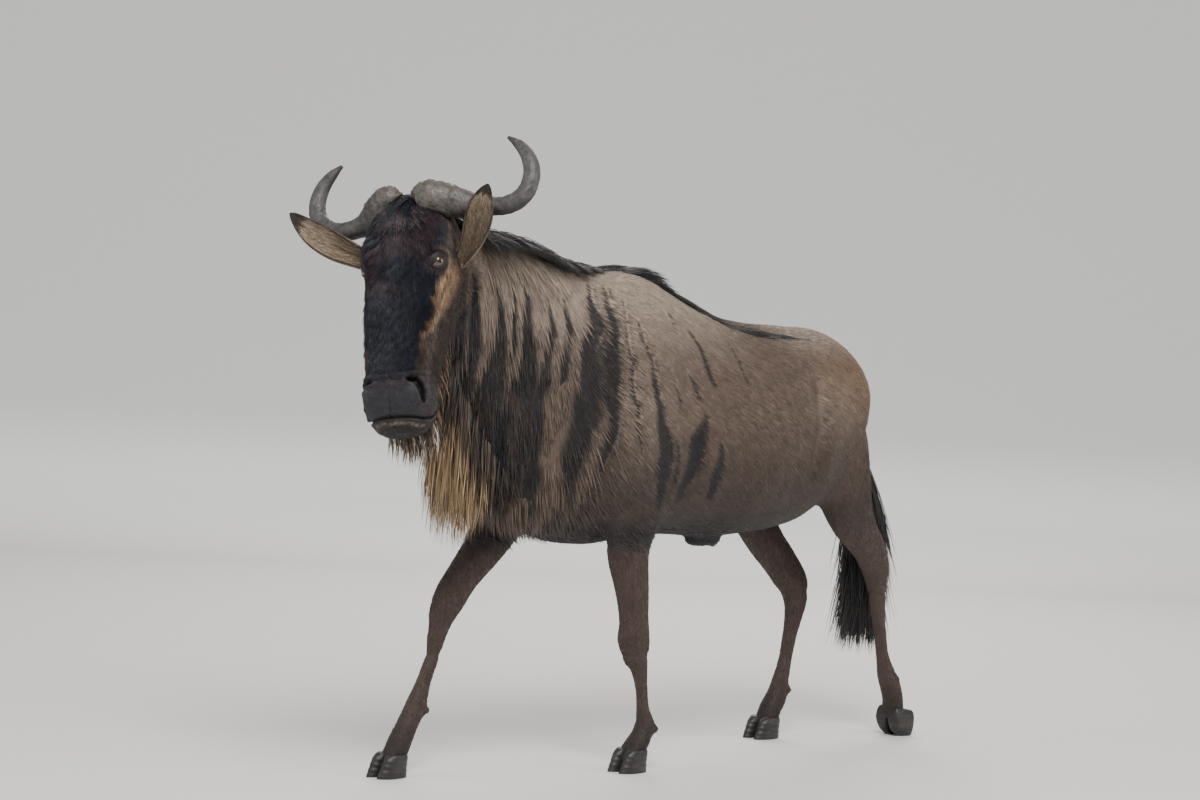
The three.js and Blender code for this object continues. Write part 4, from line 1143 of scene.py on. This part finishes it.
def hoof_piece(name, side, label):
    rows = smooth_rows(CLAW_ROWS, 40)
    a = np.linspace(0, 2 * np.pi, CLAW_CORNERS, endpoint=False)
    centre = triples(rows[:, 0], side * CLAW_OUT, rows[:, 1])
    rings = ring_points(centre, [-1, 0, 0], [0, 1, 0], rows[:, 2], rows[:, 2], rows[:, 3], (2.0, 2.4),
                        CLAW_CORNERS)
    fore = np.maximum(-(rings[..., 0] - rows[:, None, 0]) / rows[:, None, 2], 0)
    inner = side * (rings[..., 1] - side * CLAW_OUT) < 0
    rings[..., 1] -= side * 4.0 * fore ** 2 * (~inner) * (1 - rings[..., 2] / 90)
    z = rings[..., 2]
    ridge = 0.5 * np.sin(z / 2.1 + 0.6 * np.sin(a * 3)) + 0.4 * np.sin(z / 5.2)
    band = 1.6 * bell(z - 50, 4.0)
    rings += unit(rings - centre[:, None]) * ((ridge + band - 0.6) * ease(z, -2, 8))[..., None]
    placed = foot_points(FEET[name], rings)
    placed[..., 2] = np.maximum(placed[..., 2], 0.0)
    points, faces = loft_faces(placed)
    piece = mesh_object(f"hoof_{name}_{label}_fine", points, faces)
    finish_piece(piece, HOOF, [f"hoof_{name}_{label}"])


HORN = horn_material()
HOOF = hoof_material()
EYE_MATERIAL = eye_material()
for which, way in (("left", -1), ("right", 1)):
    horn_piece(which, way)
    ear_piece(which)
    eye_piece(which, way)
    for foot_name in FEET:
        hoof_piece(foot_name, way, which)


# Coat
# Hairs and locks in each coat
COUNTS = {"coat_short": 146000, "coat_face": 60000, "coat_neck": 9500, "ear_hair": 1700, "mane": 4600,
          "beard": 3300, "chin_hair": 1500, "forelock": 800, "tail_hair": 2900}
LIMIT = 190000        # triangles in one piece of coat
PATCH = 0.003         # width of a tuft's patch on the baking map
SPIKE = np.array([[0, 2, 1], [0, 1, 3], [1, 2, 3], [2, 0, 3]])      # faces of a short hair


def unwrap(p):
    """Place of a point of the skin on one flat sheet: head, trunk with neck, legs and tail."""
    h = head_local(p)
    head = (h[:, 0] < 24) & (np.abs(h[:, 1]) < 125) & (h[:, 2] > -200 + 0.3 * (h[:, 0] + 60).clip(0))
    low = leg_zone(p) > 0.5
    angle = np.arctan2(p[:, 1], -(p[:, 2] - 880 - 0.25 * (-p[:, 0] - 200).clip(0))) / (2 * np.pi) + 0.5
    u = 0.02 + 0.96 * np.clip((p[:, 0] + 800) / 2000, 0, 1)
    v = 0.50 + 0.48 * angle
    ha = np.arctan2(h[:, 1], -(h[:, 2] + 90)) / (2 * np.pi) + 0.5
    u = np.where(head, 0.02 + 0.36 * np.clip(-h[:, 0] / 560 + 0.06, 0, 1), u)
    v = np.where(head, 0.02 + 0.44 * ha, v)
    for k, table in enumerate(LEGS.values()):
        rows = smooth_rows(table, 60)
        x, y = leg_middle(rows, p[:, 2])
        mine = low & ((p[:, 1] < 0) == (y < 0)) & ((p[:, 0] > 300) == (rows[0, 0] > 300)) & ~head
        a = np.arctan2(p[:, 1] - y, p[:, 0] - x) / (2 * np.pi) + 0.5
        u = np.where(mine, 0.42 + 0.14 * k + 0.12 * a, u)
        v = np.where(mine, 0.02 + 0.44 * np.clip(p[:, 2] / 700, 0, 1), v)
    return np.stack([u, v], 1)


def coat_pieces(name, bodies, tints, roots, material):
    """Builds pieces from tufts: corners of each tuft, with their tints, and its root."""
    n, corners = bodies.shape[:2]
    spiky = corners == len(SPIKE)
    faces_each = SPIKE if spiky else lock_faces(corners // 4)
    per = max(1, LIMIT // len(faces_each))
    spread = np.stack([np.cos(np.arange(corners) * 2.4), np.sin(np.arange(corners) * 2.4)], 1)
    for k, first in enumerate(range(0, n, per)):
        part = slice(first, min(first + per, n))
        m = part.stop - part.start
        points = bodies[part].reshape(-1, 3)
        faces = (np.arange(m)[:, None, None] * corners + faces_each[None]).reshape(-1, 3)
        piece = mesh_object(f"{name}_{k + 1}", points, faces, not spiky)
        paint(piece.data, tints[part].reshape(-1, 3))
        uv = (unwrap(roots[part])[:, None] + spread[None] * PATCH / 2).reshape(-1, 2)
        layer = piece.data.uv_layers.new(name="OFBake")
        index = values_of(piece.data.loops, "vertex_index", 1, np.int32)[:, 0]
        layer.data.foreach_set("uv", uv[index].astype(np.float32).ravel())
        finish_piece(piece, material)
        print(piece.name, len(piece.data.polygons))


def lock_faces(rings):
    """Faces of one closed lock: rings of four corners, then a tip."""
    faces = [[0, 2, 1], [0, 3, 2]]
    for k in range(rings - 1):
        for i in range(4):
            a, b = 4 * k + i, 4 * k + (i + 1) % 4
            faces += [[a, b, b + 4], [a, b + 4, a + 4]]
    tip = 4 * rings
    faces += [[tip - 4 + i, tip - 4 + (i + 1) % 4, tip] for i in range(4)]
    return np.array(faces)


def spikes(roots, normals, lie, length, width, lift, ridge=0.45):
    """Short hair: closed three-sided spikes that lie along the skin."""
    across = unit(np.cross(lie, normals))
    base = roots - normals * 0.6
    w = (width / 2)[:, None]
    tip = roots + (lie * np.cos(lift)[:, None] + normals * np.sin(lift)[:, None]) * length[:, None]
    top = base + normals * (w * ridge + 0.6) + lie * w
    return np.stack([base + across * w, base - across * w, top, tip], 1)


def locks(roots, start, end, across, length, width, thick, rings, wave=0.0):
    """Long hair: closed flat locks that bend from `start` to `end`."""
    n = len(roots)
    bodies = np.empty((n, 4 * rings + 1, 3))
    phase = RNG.uniform(0, 6.28, n)
    for k in range(rings + 1):
        t = k / rings
        centre = roots + length[:, None] * (start * t + (end - start) * t * t / 2)
        along = unit(start * (1 - t) + end * t)
        side = unit(across - along * (across * along).sum(1, keepdims=True))
        up = np.cross(along, side)
        centre = centre + side * (wave * np.sin(phase + 5 * t) * t)[:, None]
        if k == rings:
            bodies[:, 4 * rings] = centre
            break
        taper = mix(0.7, 1.0, min(1.0, t * 3)) * (1 - 0.9 * t ** 2)
        a = side * (width * taper / 2)[:, None]
        b = up * (thick * taper / 2)[:, None]
        bodies[:, 4 * k:4 * k + 4] = np.stack([centre + a, centre + b, centre - a, centre - b], 1)
    return bodies


def surface_samples(mesh, density, count, seed):
    """Random roots on a mesh, thicker where `density` is high."""
    rng = np.random.default_rng(seed)
    p, n = points_of(mesh), normals_of(mesh)
    tri = values_of(mesh.polygons, "vertices", 3, np.int32)
    a, b, c = p[tri[:, 0]], p[tri[:, 1]], p[tri[:, 2]]
    area = lengths(np.cross(b - a, c - a)) / 2
    weight = area * density((a + b + c) / 3)
    pick = rng.choice(len(tri), count, p=weight / weight.sum())
    r1, r2 = np.sqrt(rng.random(count)), rng.random(count)
    w = triples(1 - r1, r1 * (1 - r2), r1 * r2)[..., None]
    roots = (p[tri[pick]] * w).sum(1)
    normals = unit((n[tri[pick]] * w).sum(1))
    return roots, normals, rng


def in_head(p):
    h = head_local(p)
    return (h[:, 0] < 12) & (np.abs(h[:, 1]) < 130) & (h[:, 2] > -208 + 0.5 * (h[:, 0] + 60).clip(0))


def flow(p):
    """Direction in which the coat lies, before it is laid on the skin."""
    x, z = p[:, 0], p[:, 2]
    side = np.sign(p[:, 1])
    neck = ease(x, -120, -360)
    rump = ease(x, 600, 780)
    d = triples(0.80 - 0.66 * neck - 0.45 * rump, 0.06 * side, -0.55 - 0.42 * neck - 0.4 * rump)
    d[:, 0] += 0.06 * waves(p, 260, 71)
    d[:, 2] += 0.06 * waves(p, 240, 72)
    legs = leg_zone(p)[:, None]
    d = d * (1 - legs) + (DOWN + [0.14, 0, 0]) * legs
    low = (ease(z, 620, 560) * (1 - legs[:, 0]))[:, None]
    d = d * (1 - low) + np.array([1.0, 0, -0.15]) * low
    h = head_local(p)
    hs = np.tanh(h[:, 1] / 28)
    outward = 0.22 + 0.45 * ease(h[:, 0], -260, -60)
    cheek = ease(h[:, 2], -30, -80)
    local = triples(-1 + 0.8 * cheek, hs * outward * (1 - cheek), -0.9 * cheek)
    on_face = in_head(p)[:, None]
    return unit(np.where(on_face, head_direction(unit(local)), d))


def laid(direction, normals, rng, scatter):
    d = direction + rng.normal(size=direction.shape) * scatter
    d = d - normals * (d * normals).sum(1, keepdims=True)
    return unit(d)


def shaded(base, corners, rng, spread, root_shade=0.75, tip_shade=1.15):
    """Tint of a tuft's corners: each tuft its own shade, darker at its root."""
    own = 1 + rng.normal(size=(len(base), 1)) * spread
    along = np.linspace(root_shade, tip_shade, corners)[None, :, None]
    return np.clip(base * own, 0.003, 1)[:, None] * along


def short_coat():
    def body_density(p):
        h = fine_zone(p) + in_head(p)
        return np.where(h > 0, 0, 1.0) * (1 + 0.5 * leg_zone(p)) * (p[:, 2] > 58)

    roots, normals, rng = surface_samples(skin.data, body_density, COUNTS["coat_short"], 101)
    legs = leg_zone(roots)
    neck = ease(roots[:, 0], -60, -330)
    long = mix(mix(17.0, 24.0, neck), 9.0, legs) * rng.uniform(0.75, 1.2, len(roots))
    foot = ease(roots[:, 2], 260, 80)
    long *= 1 - 0.35 * foot
    lie = laid(flow(roots), normals, rng, 0.055)
    lift = np.radians(rng.uniform(3.5, 9.5, len(roots)))
    width = mix(3.0, 2.2, legs) * rng.uniform(0.7, 1.3, len(roots))
    bodies = spikes(roots, normals, lie, long, width, lift)
    tints = shaded(markings_and_painted_light(roots), 4, rng, 0.12)
    tints[:, 2] = tints[:, 0]
    coat_pieces("coat_short", bodies, tints, roots, COAT)


def face_coat():
    def density(p):
        h = head_local(p)
        side = folded(h).T
        rim, width = comma_distance(*side)
        open_skin = (eye_distance(h) > 23) * (1 - nose_pad(*side)) * (rim > width * 1.25)
        return in_head(p) * open_skin * (1 + 0.6 * ease(h[:, 2], -40, -5))

    roots, normals, rng = surface_samples(skin.data, density, COUNTS["coat_face"], 103)
    h = head_local(roots)
    bridge = ease(h[:, 2], -46, -10) * ease(h[:, 0], -445, -310)
    brow = ease(h[:, 0], -110, -40)
    eye = 1 - ease(eye_distance(h), 26, 55)
    muzzle = ease(h[:, 0], -385, -445)
    long = mix(mix(11.0, 27.0, bridge), 17.0, brow * bridge)
    long = mix(mix(long, 4.5, eye), 4.0, muzzle) * rng.uniform(0.7, 1.3, len(roots))
    lie = laid(flow(roots) + head_direction([0, 0.25, 0]) * waves(roots, 110, 75)[:, None], normals,
               rng, 0.12)
    lift = np.radians(rng.uniform(4, 12, len(roots)))
    width = mix(mix(2.0, 1.2, eye), 1.3, muzzle) * rng.uniform(0.7, 1.2, len(roots))
    bodies = spikes(roots, normals, lie, long, width, lift, 0.6)
    tints = shaded(markings_and_painted_light(roots), 4, rng, 0.28)
    tints *= (1 + 0.3 * waves(h * [0.22, 1, 1], 15, 77))[:, None, None]
    tints[:, 2] = tints[:, 0]
    coat_pieces("coat_face", bodies, tints, roots, GLOSSY)


def neck_shag():
    def density(p):
        zone = ease(p[:, 0], 60, -220) * ease(p[:, 2], 560, 640) * ~in_head(p)
        return zone * (0.5 + ease(p[:, 0], -200, -420))

    roots, normals, rng = surface_samples(skin.data, density, COUNTS["coat_neck"], 107)
    neck = ease(roots[:, 0], -60, -420)
    lower = ease(roots[:, 2], 1000, 720)
    long = mix(28.0, 58.0, neck) * mix(1.0, 1.3, lower) * rng.uniform(0.7, 1.3, len(roots))
    down = laid(flow(roots), normals, rng, 0.05)
    start = unit(down + normals * 0.12)
    end = unit(down + normals * 0.02 + DOWN * 0.2)
    across = np.cross(down, normals)
    width = rng.uniform(3.2, 7.0, len(roots))
    bodies = locks(roots - normals * 2, start, end, across, long, width, width * 0.3, 3, 1.2)
    tints = shaded(markings_and_painted_light(roots + down * 6), 13, rng, 0.12, 0.9, 1.04)
    coat_pieces("coat_neck", bodies, tints, roots, COAT)


def ear_hair(name):
    """Pale hair that fans out along the inside of an ear, and a dark fringe on its rim."""
    rng = np.random.default_rng(163)
    count = COUNTS["ear_hair"]
    t = rng.uniform(0.04, 0.9, count)
    a = rng.normal(size=count) * 0.75
    rim = rng.random(count) < 0.35
    a = np.where(rim, np.sign(a) * rng.uniform(1.3, 1.45, count), np.clip(a, -1.3, 1.3))
    shell = EAR_THICKNESS * mix(1.3, 0.45, t) * 0.8
    roots = ear_surface(name, t, a, shell + 0.5)
    ahead = ear_surface(name, np.minimum(t + 0.06, 1), a, shell + 0.5)
    inward = ear_surface(name, t, a, shell + 4.0) - roots
    lie = unit(ahead - roots)
    normals = unit(inward)
    spread = ear_surface(name, t, a + 0.1 * np.sign(a), shell + 0.5) - roots
    lie = unit(lie + unit(spread) * np.where(rim, 0.4, 0.2)[:, None] + rng.normal(size=(count, 3)) * 0.1)
    long = np.where(rim, 13.0, 26.0) * rng.uniform(0.6, 1.3, count) * mix(1.1, 0.5, t)
    width = rng.uniform(1.2, 2.4, count)
    bodies = spikes(roots, normals, lie, long, width, np.radians(rng.uniform(6, 26, count)), 0.6)
    base = np.tile([0.40, 0.32, 0.235], (count, 1))
    base[rng.random(count) < 0.2] = [0.22, 0.16, 0.115]
    base[rim] = [0.10, 0.07, 0.05]
    base[t > 0.8] = [0.045, 0.033, 0.028]
    tints = shaded(base, 4, rng, 0.2)
    path = on_head(np.array(EARS[name][0][0], float))
    coat_pieces(f"ear_hair_{name}", bodies, tints, path + (roots - path) * 0.12, COAT)


COAT = hair_material("coat_hair", 0.58, 0.10, 0.16, 0.4)
GLOSSY = hair_material("face_hair", 0.5, 0.03, 0.2, 0.3)
LONG = hair_material("long_hair", 0.42, 0.04, 0.25, 0.5, (40, 40, 6), 12.0)
short_coat()
face_coat()
neck_shag()
for ear_name in EARS:
    ear_hair(ear_name)


# Mane, beard and tail
def crest_frame(t):
    """Places along the mane's line, with their backward directions."""
    last = 399
    line = smooth_rows(CREST, last + 1)
    index = np.minimum(t * last, last - 1).astype(int)
    place = line[index] + (line[index + 1] - line[index]) * (t * last - index)[:, None]
    back = unit(line[np.minimum(index + 6, last)] - line[np.maximum(index - 6, 0)])
    return place, back


def on_skin(points, tree):
    """The nearest places of the skin with their outward directions."""
    nearest = [tree.find(Vector(q))[1] for q in points]
    return points_of(skin.data)[nearest], normals_of(skin.data)[nearest]


def skin_tree():
    p = points_of(skin.data)
    tree = KDTree(len(p))
    for k, q in enumerate(p):
        tree.insert(Vector(q), k)
    tree.balance()
    return tree


def mane():
    rng = np.random.default_rng(131)
    count = COUNTS["mane"]
    t = rng.random(count)
    place, back = crest_frame(t)
    half = mix(46.0, 26.0, ease(t, 0.12, 0.42)) * (1 - 0.8 * ease(t, 0.8, 1))
    off = np.clip(rng.normal(size=count) * 0.5 - 0.1, -1, 1)
    place[:, 1] += off * half
    roots, normals = on_skin(place, TREE)
    neck = 1 - ease(t, 0.26, 0.44)
    long = mix(100.0, 165.0, neck) * rng.uniform(0.6, 1.15, count)
    side = np.where(off > 0.35, 1.0, -1.0)
    outward = triples(0, side, 0)
    start = unit(back + normals * (0.10 + 0.30 * neck)[:, None] + outward * (0.12 + 0.3 * neck)[:, None])
    end = unit(back * mix(1.0, 0.75, neck)[:, None] + outward * (0.05 + 0.55 * neck)[:, None]
               + DOWN * (0.02 + 0.85 * neck)[:, None]
               + rng.normal(size=(count, 3)) * 0.05)
    width = rng.uniform(3.2, 7.0, count) * mix(0.85, 1.0, neck)
    bodies = locks(roots - normals * 3, start, end, np.cross(back, normals), long, width,
                   width * 0.45, 4, 3.0)
    base = np.tile([0.0105, 0.0100, 0.0125], (count, 1))
    # painted highlight: some locks are grey, standing in for the sheen on the black mane
    base[rng.random(count) < 0.14] = [0.060, 0.056, 0.058]
    base[rng.random(count) < 0.08] = [0.06, 0.04, 0.03]
    tints = shaded(base, 17, rng, 0.25, 0.8, 1.3)
    coat_pieces("mane", bodies, tints, roots, LONG)


# How long the beard hangs, from the front of the throat to the foot of the neck
BEARD_LENGTHS = [110, 200, 340, 412, 366, 335, 272, 165, 75, 60]


def beard():
    rng = np.random.default_rng(137)
    count = COUNTS["beard"]
    neck = smooth_rows(NECK_ROWS, 200)
    t = rng.random(count) ** 1.15
    along = mix(0.80, 0.16, t)
    row = neck[(along * 199).astype(int)]
    angle = np.radians(270 + np.clip(rng.normal(size=count), -2, 2) * 10)
    up = neck_up(row)
    across_neck, below = triples(0, np.cos(angle), 0), up * np.sin(angle)[:, None]
    place = row[:, :3] + across_neck * row[:, 6:7] + below * row[:, 5:6]
    normals = unit(across_neck + below)
    roots = place - normals * 14
    profile = np.interp(0.80 - along, np.linspace(0, 0.64, len(BEARD_LENGTHS)), BEARD_LENGTHS)
    middle = bell(np.degrees(angle) - 270, 20)
    long = profile * mix(0.7, 1.0, middle) * rng.uniform(0.5, 1.04, count)
    long *= mix(0.3, 1.0, ease(along, 0.63, 0.50))
    fall = triples(rng.normal(size=count) * 0.035 - 0.004, rng.normal(size=count) * 0.045, -1)
    start = unit(normals * 0.65 + fall * 0.5)
    width = rng.uniform(3.0, 6.4, count)
    across = triples(0.75, rng.normal(size=count) * 0.6, 0)
    bodies = locks(roots, start, unit(fall), across, long, width, width * 0.35, 5, 7.0)
    # dark above, straw below a line that rises towards the throat
    line = np.interp(bodies[..., 0], [-740, -650, -560, -480, -400], [900, 850, 765, 650, 540])
    line = line + rng.normal(size=(count, 1)) * 34
    amount = ease(line - bodies[..., 2], -30, 60)[..., None]
    tips = np.tile(STRAW, (count, 1))
    tips[rng.random(count) < 0.38] = [0.17, 0.105, 0.055]
    top = np.tile([0.020, 0.015, 0.014], (count, 1))
    top[rng.random(count) < 0.3] = [0.085, 0.055, 0.036]
    own = 1 + rng.normal(size=(count, 1, 1)) * 0.18
    tints = np.clip((top[:, None] * (1 - amount) + tips[:, None] * amount) * own, 0.004, 1)
    coat_pieces("beard", bodies, tints, roots, LONG)


def chin_hair():
    rng = np.random.default_rng(139)
    count = COUNTS["chin_hair"]
    s = 520 - 220 * rng.random(count) ** 1.4
    t = (520 - s) / 220
    place = on_head(triples(-s, rng.normal(size=count) * mix(26, 34, t), mix(-118, -160, t)))
    roots, normals = on_skin(place, TREE)
    long = mix(92.0, 84.0, t) * rng.uniform(0.35, 1.1, count)
    fall = triples(rng.normal(size=count) * 0.10, rng.normal(size=count) * 0.10, -1)
    start = unit(normals * 0.6 + fall * 0.5 + head_direction([-0.1, 0, 0]))
    width = rng.uniform(2.0, 4.2, count)
    across = np.tile(head_direction([0, 1, 0]), (count, 1)) + rng.normal(size=(count, 3)) * 0.3
    bodies = locks(roots - normals * 2, start, unit(fall), across, long, width, width * 0.4, 3, 3.0)
    base = np.tile([0.20, 0.125, 0.065], (count, 1))
    base[rng.random(count) < 0.5] = [0.028, 0.021, 0.019]
    base[(rng.random(count) < 0.2) & (s > 470)] = [0.62, 0.60, 0.56]
    tints = shaded(base, 13, rng, 0.2, 0.4, 1.25)
    coat_pieces("chin_hair", bodies, tints, roots, LONG)


def forelock():
    rng = np.random.default_rng(141)
    count = COUNTS["forelock"]
    local = triples(rng.uniform(-52, 18, count), rng.normal(size=count) * 20, 24.0)
    local[:, 1] = np.clip(local[:, 1], -44, 44)
    roots, normals = on_skin(on_head(local), TREE)
    long = rng.uniform(24, 56, count)
    fan = np.clip(local[:, 1] / 40, -0.6, 0.6) + rng.normal(size=count) * 0.14
    start = unit(head_direction(triples(-0.7, fan, 0.30)))
    end = unit(head_direction(triples(-1, fan * 1.3, -0.06)))
    width = rng.uniform(2.2, 4.5, count)
    across = np.tile(head_direction([0, 1, 0]), (count, 1))
    bodies = locks(roots - normals * 2, start, end, across, long, width, width * 0.4, 3, 2.0)
    base = np.tile([0.011, 0.009, 0.012], (count, 1))
    base[rng.random(count) < 0.4] = [0.052, 0.030, 0.030]
    tints = shaded(base, 13, rng, 0.3, 0.8, 1.3)
    coat_pieces("forelock", bodies, tints, roots, LONG)


def tail_hair():
    rng = np.random.default_rng(149)
    count = COUNTS["tail_hair"]
    core = smooth_rows([[946, -4, 760, 12]] + CORE_ROWS, 200)
    t = rng.random(count) ** 1.1
    row = core[(t * 150).astype(int)]
    turn_by = rng.random(count) * 2 * np.pi
    out = triples(np.cos(turn_by), 0.7 * np.sin(turn_by), 0)
    roots = row[:, :3] + out * (row[:, 3] * 0.45)[:, None]
    back = mix(0.14, -0.05, t) + rng.normal(size=count) * 0.10
    fall = triples(back + 0.08 * out[:, 0], 0.07 * out[:, 1] + rng.normal(size=count) * 0.02, -1)
    long = np.minimum(rng.uniform(190, 350, count), row[:, 2] - 205) * rng.uniform(0.8, 1.0, count)
    start = unit(fall + out * 0.28)
    across = triples(-out[:, 1], out[:, 0], 0)
    width = rng.uniform(3.5, 8.0, count)
    bodies = locks(roots, start, unit(fall), across, long, width, width * 0.4, 5, 9.0)
    base = np.tile([0.0095, 0.0088, 0.0105], (count, 1))
    base[rng.random(count) < 0.12] = [0.035, 0.026, 0.022]
    tints = shaded(base, 21, rng, 0.25, 0.9, 1.3)
    coat_pieces("tail_hair", bodies, tints, roots, LONG)
    core_points, core_faces = loft_faces(tail_rings(CORE_ROWS, 40, 24, 4.0))
    piece = mesh_object("tail_core", core_points, core_faces)
    paint(piece.data, np.tile([0.012, 0.010, 0.011], (len(core_points), 1)))
    finish_piece(piece, SKIN_HAIR, ["tail_tuft"])


TREE = skin_tree()
mane()
beard()
chin_hair()
forelock()
tail_hair()


# Stage, light and camera
FLOOR_CORNERS = 96


def floor_bowl():
    """A flat floor that rises smoothly far behind the animal."""
    rise = np.linspace(0.05, 1.57, 24)
    radii = np.concatenate([[2.0, 6.0, 11.0, 14.0], 14 + 12 * np.sin(rise)])
    heights = np.concatenate([np.zeros(4), 12 * (1 - np.cos(rise))])
    a = np.linspace(0, 2 * np.pi, FLOOR_CORNERS, endpoint=False)
    rings = triples(radii[:, None] * np.cos(a), radii[:, None] * np.sin(a), heights[:, None])
    points = np.vstack([rings.reshape(-1, 3), [[0, 0, 0]]])
    pairs = [(i, (i + 1) % FLOOR_CORNERS) for i in range(FLOOR_CORNERS)]
    faces = [(i, len(points) - 1, j) for i, j in pairs]
    for first in range(0, (len(radii) - 1) * FLOOR_CORNERS, FLOOR_CORNERS):
        above = first + FLOOR_CORNERS
        faces += [(first + i, first + j, above + j, above + i) for i, j in pairs]
    mesh = bpy.data.meshes.new("floor")
    mesh.from_pydata(points.tolist(), [], faces)
    for f in mesh.polygons:
        f.use_smooth = True
    return new_object("floor", mesh)


# Lamps: place, aim, size, power and colour
TRUNK = (0, 0, 0.8)
LAMPS = {
    "key": ((-2.6, -3.2, 5.0), TRUNK, 2.4, 340, (1.0, 0.97, 0.93)),
    "fill": ((-5.0, 2.5, 2.6), TRUNK, 3.5, 70, (0.9, 0.95, 1.0)),
    "rim": ((3.5, 3.0, 4.0), TRUNK, 3.0, 200, (1.0, 0.98, 0.95)),
    "side": ((3.0, -4.5, 2.4), TRUNK, 3.0, 80, (1.0, 0.98, 0.95)),
    "backdrop": ((3.0, 3.0, 9.0), (24, 24, 10), 10.0, 2100, (1.0, 1.0, 1.0)),
}


def stage_and_light():
    floor = floor_bowl()
    plain, _, _ = new_material("floor_plain", Base_Color=(0.80, 0.79, 0.77, 1), Roughness=0.9)
    floor.data.materials.append(plain)
    world = bpy.data.worlds.new("studio")
    world.use_nodes = True
    sky = world.node_tree.nodes["Background"].inputs
    sky["Color"].default_value = (0.93, 0.94, 0.96, 1)
    sky["Strength"].default_value = 0.42
    bpy.context.scene.world = world
    for name, (place, aim, size, power, colour) in LAMPS.items():
        lamp = bpy.data.lights.new(name, "AREA")
        lamp.size = size
        lamp.energy = power
        lamp.color = colour
        item = new_object(name, lamp)
        item.location = place
        item.rotation_euler = (Vector(aim) - Vector(place)).to_track_quat("-Z", "Y").to_euler()


# The camera stands level with the animal's head, ahead of its left shoulder
CAMERA_PLACE = np.array([-6031.4, -5936.9, 1352.4])
CAMERA_RIGHT = np.array([0.70584, -0.70711, 0.04235])
CAMERA_UP = np.array([0.00713, 0.06687, 0.99774])
CAMERA_AHEAD = np.array([0.70834, 0.70394, -0.05224])
SENSOR, LENS = 36.0, 102.0      # millimetres
CLIP_END = 60.0                 # metres


def add_camera():
    data = bpy.data.cameras.new("camera")
    data.sensor_width, data.lens, data.clip_end = SENSOR, LENS, CLIP_END
    camera = new_object("camera", data)
    columns = np.stack([CAMERA_RIGHT, CAMERA_UP, -CAMERA_AHEAD, to_row(CAMERA_PLACE)], 1)
    camera.matrix_world = Matrix([*columns.tolist(), [0, 0, 0, 1]])
    bpy.context.scene.camera = camera


stage_and_light()
add_camera()
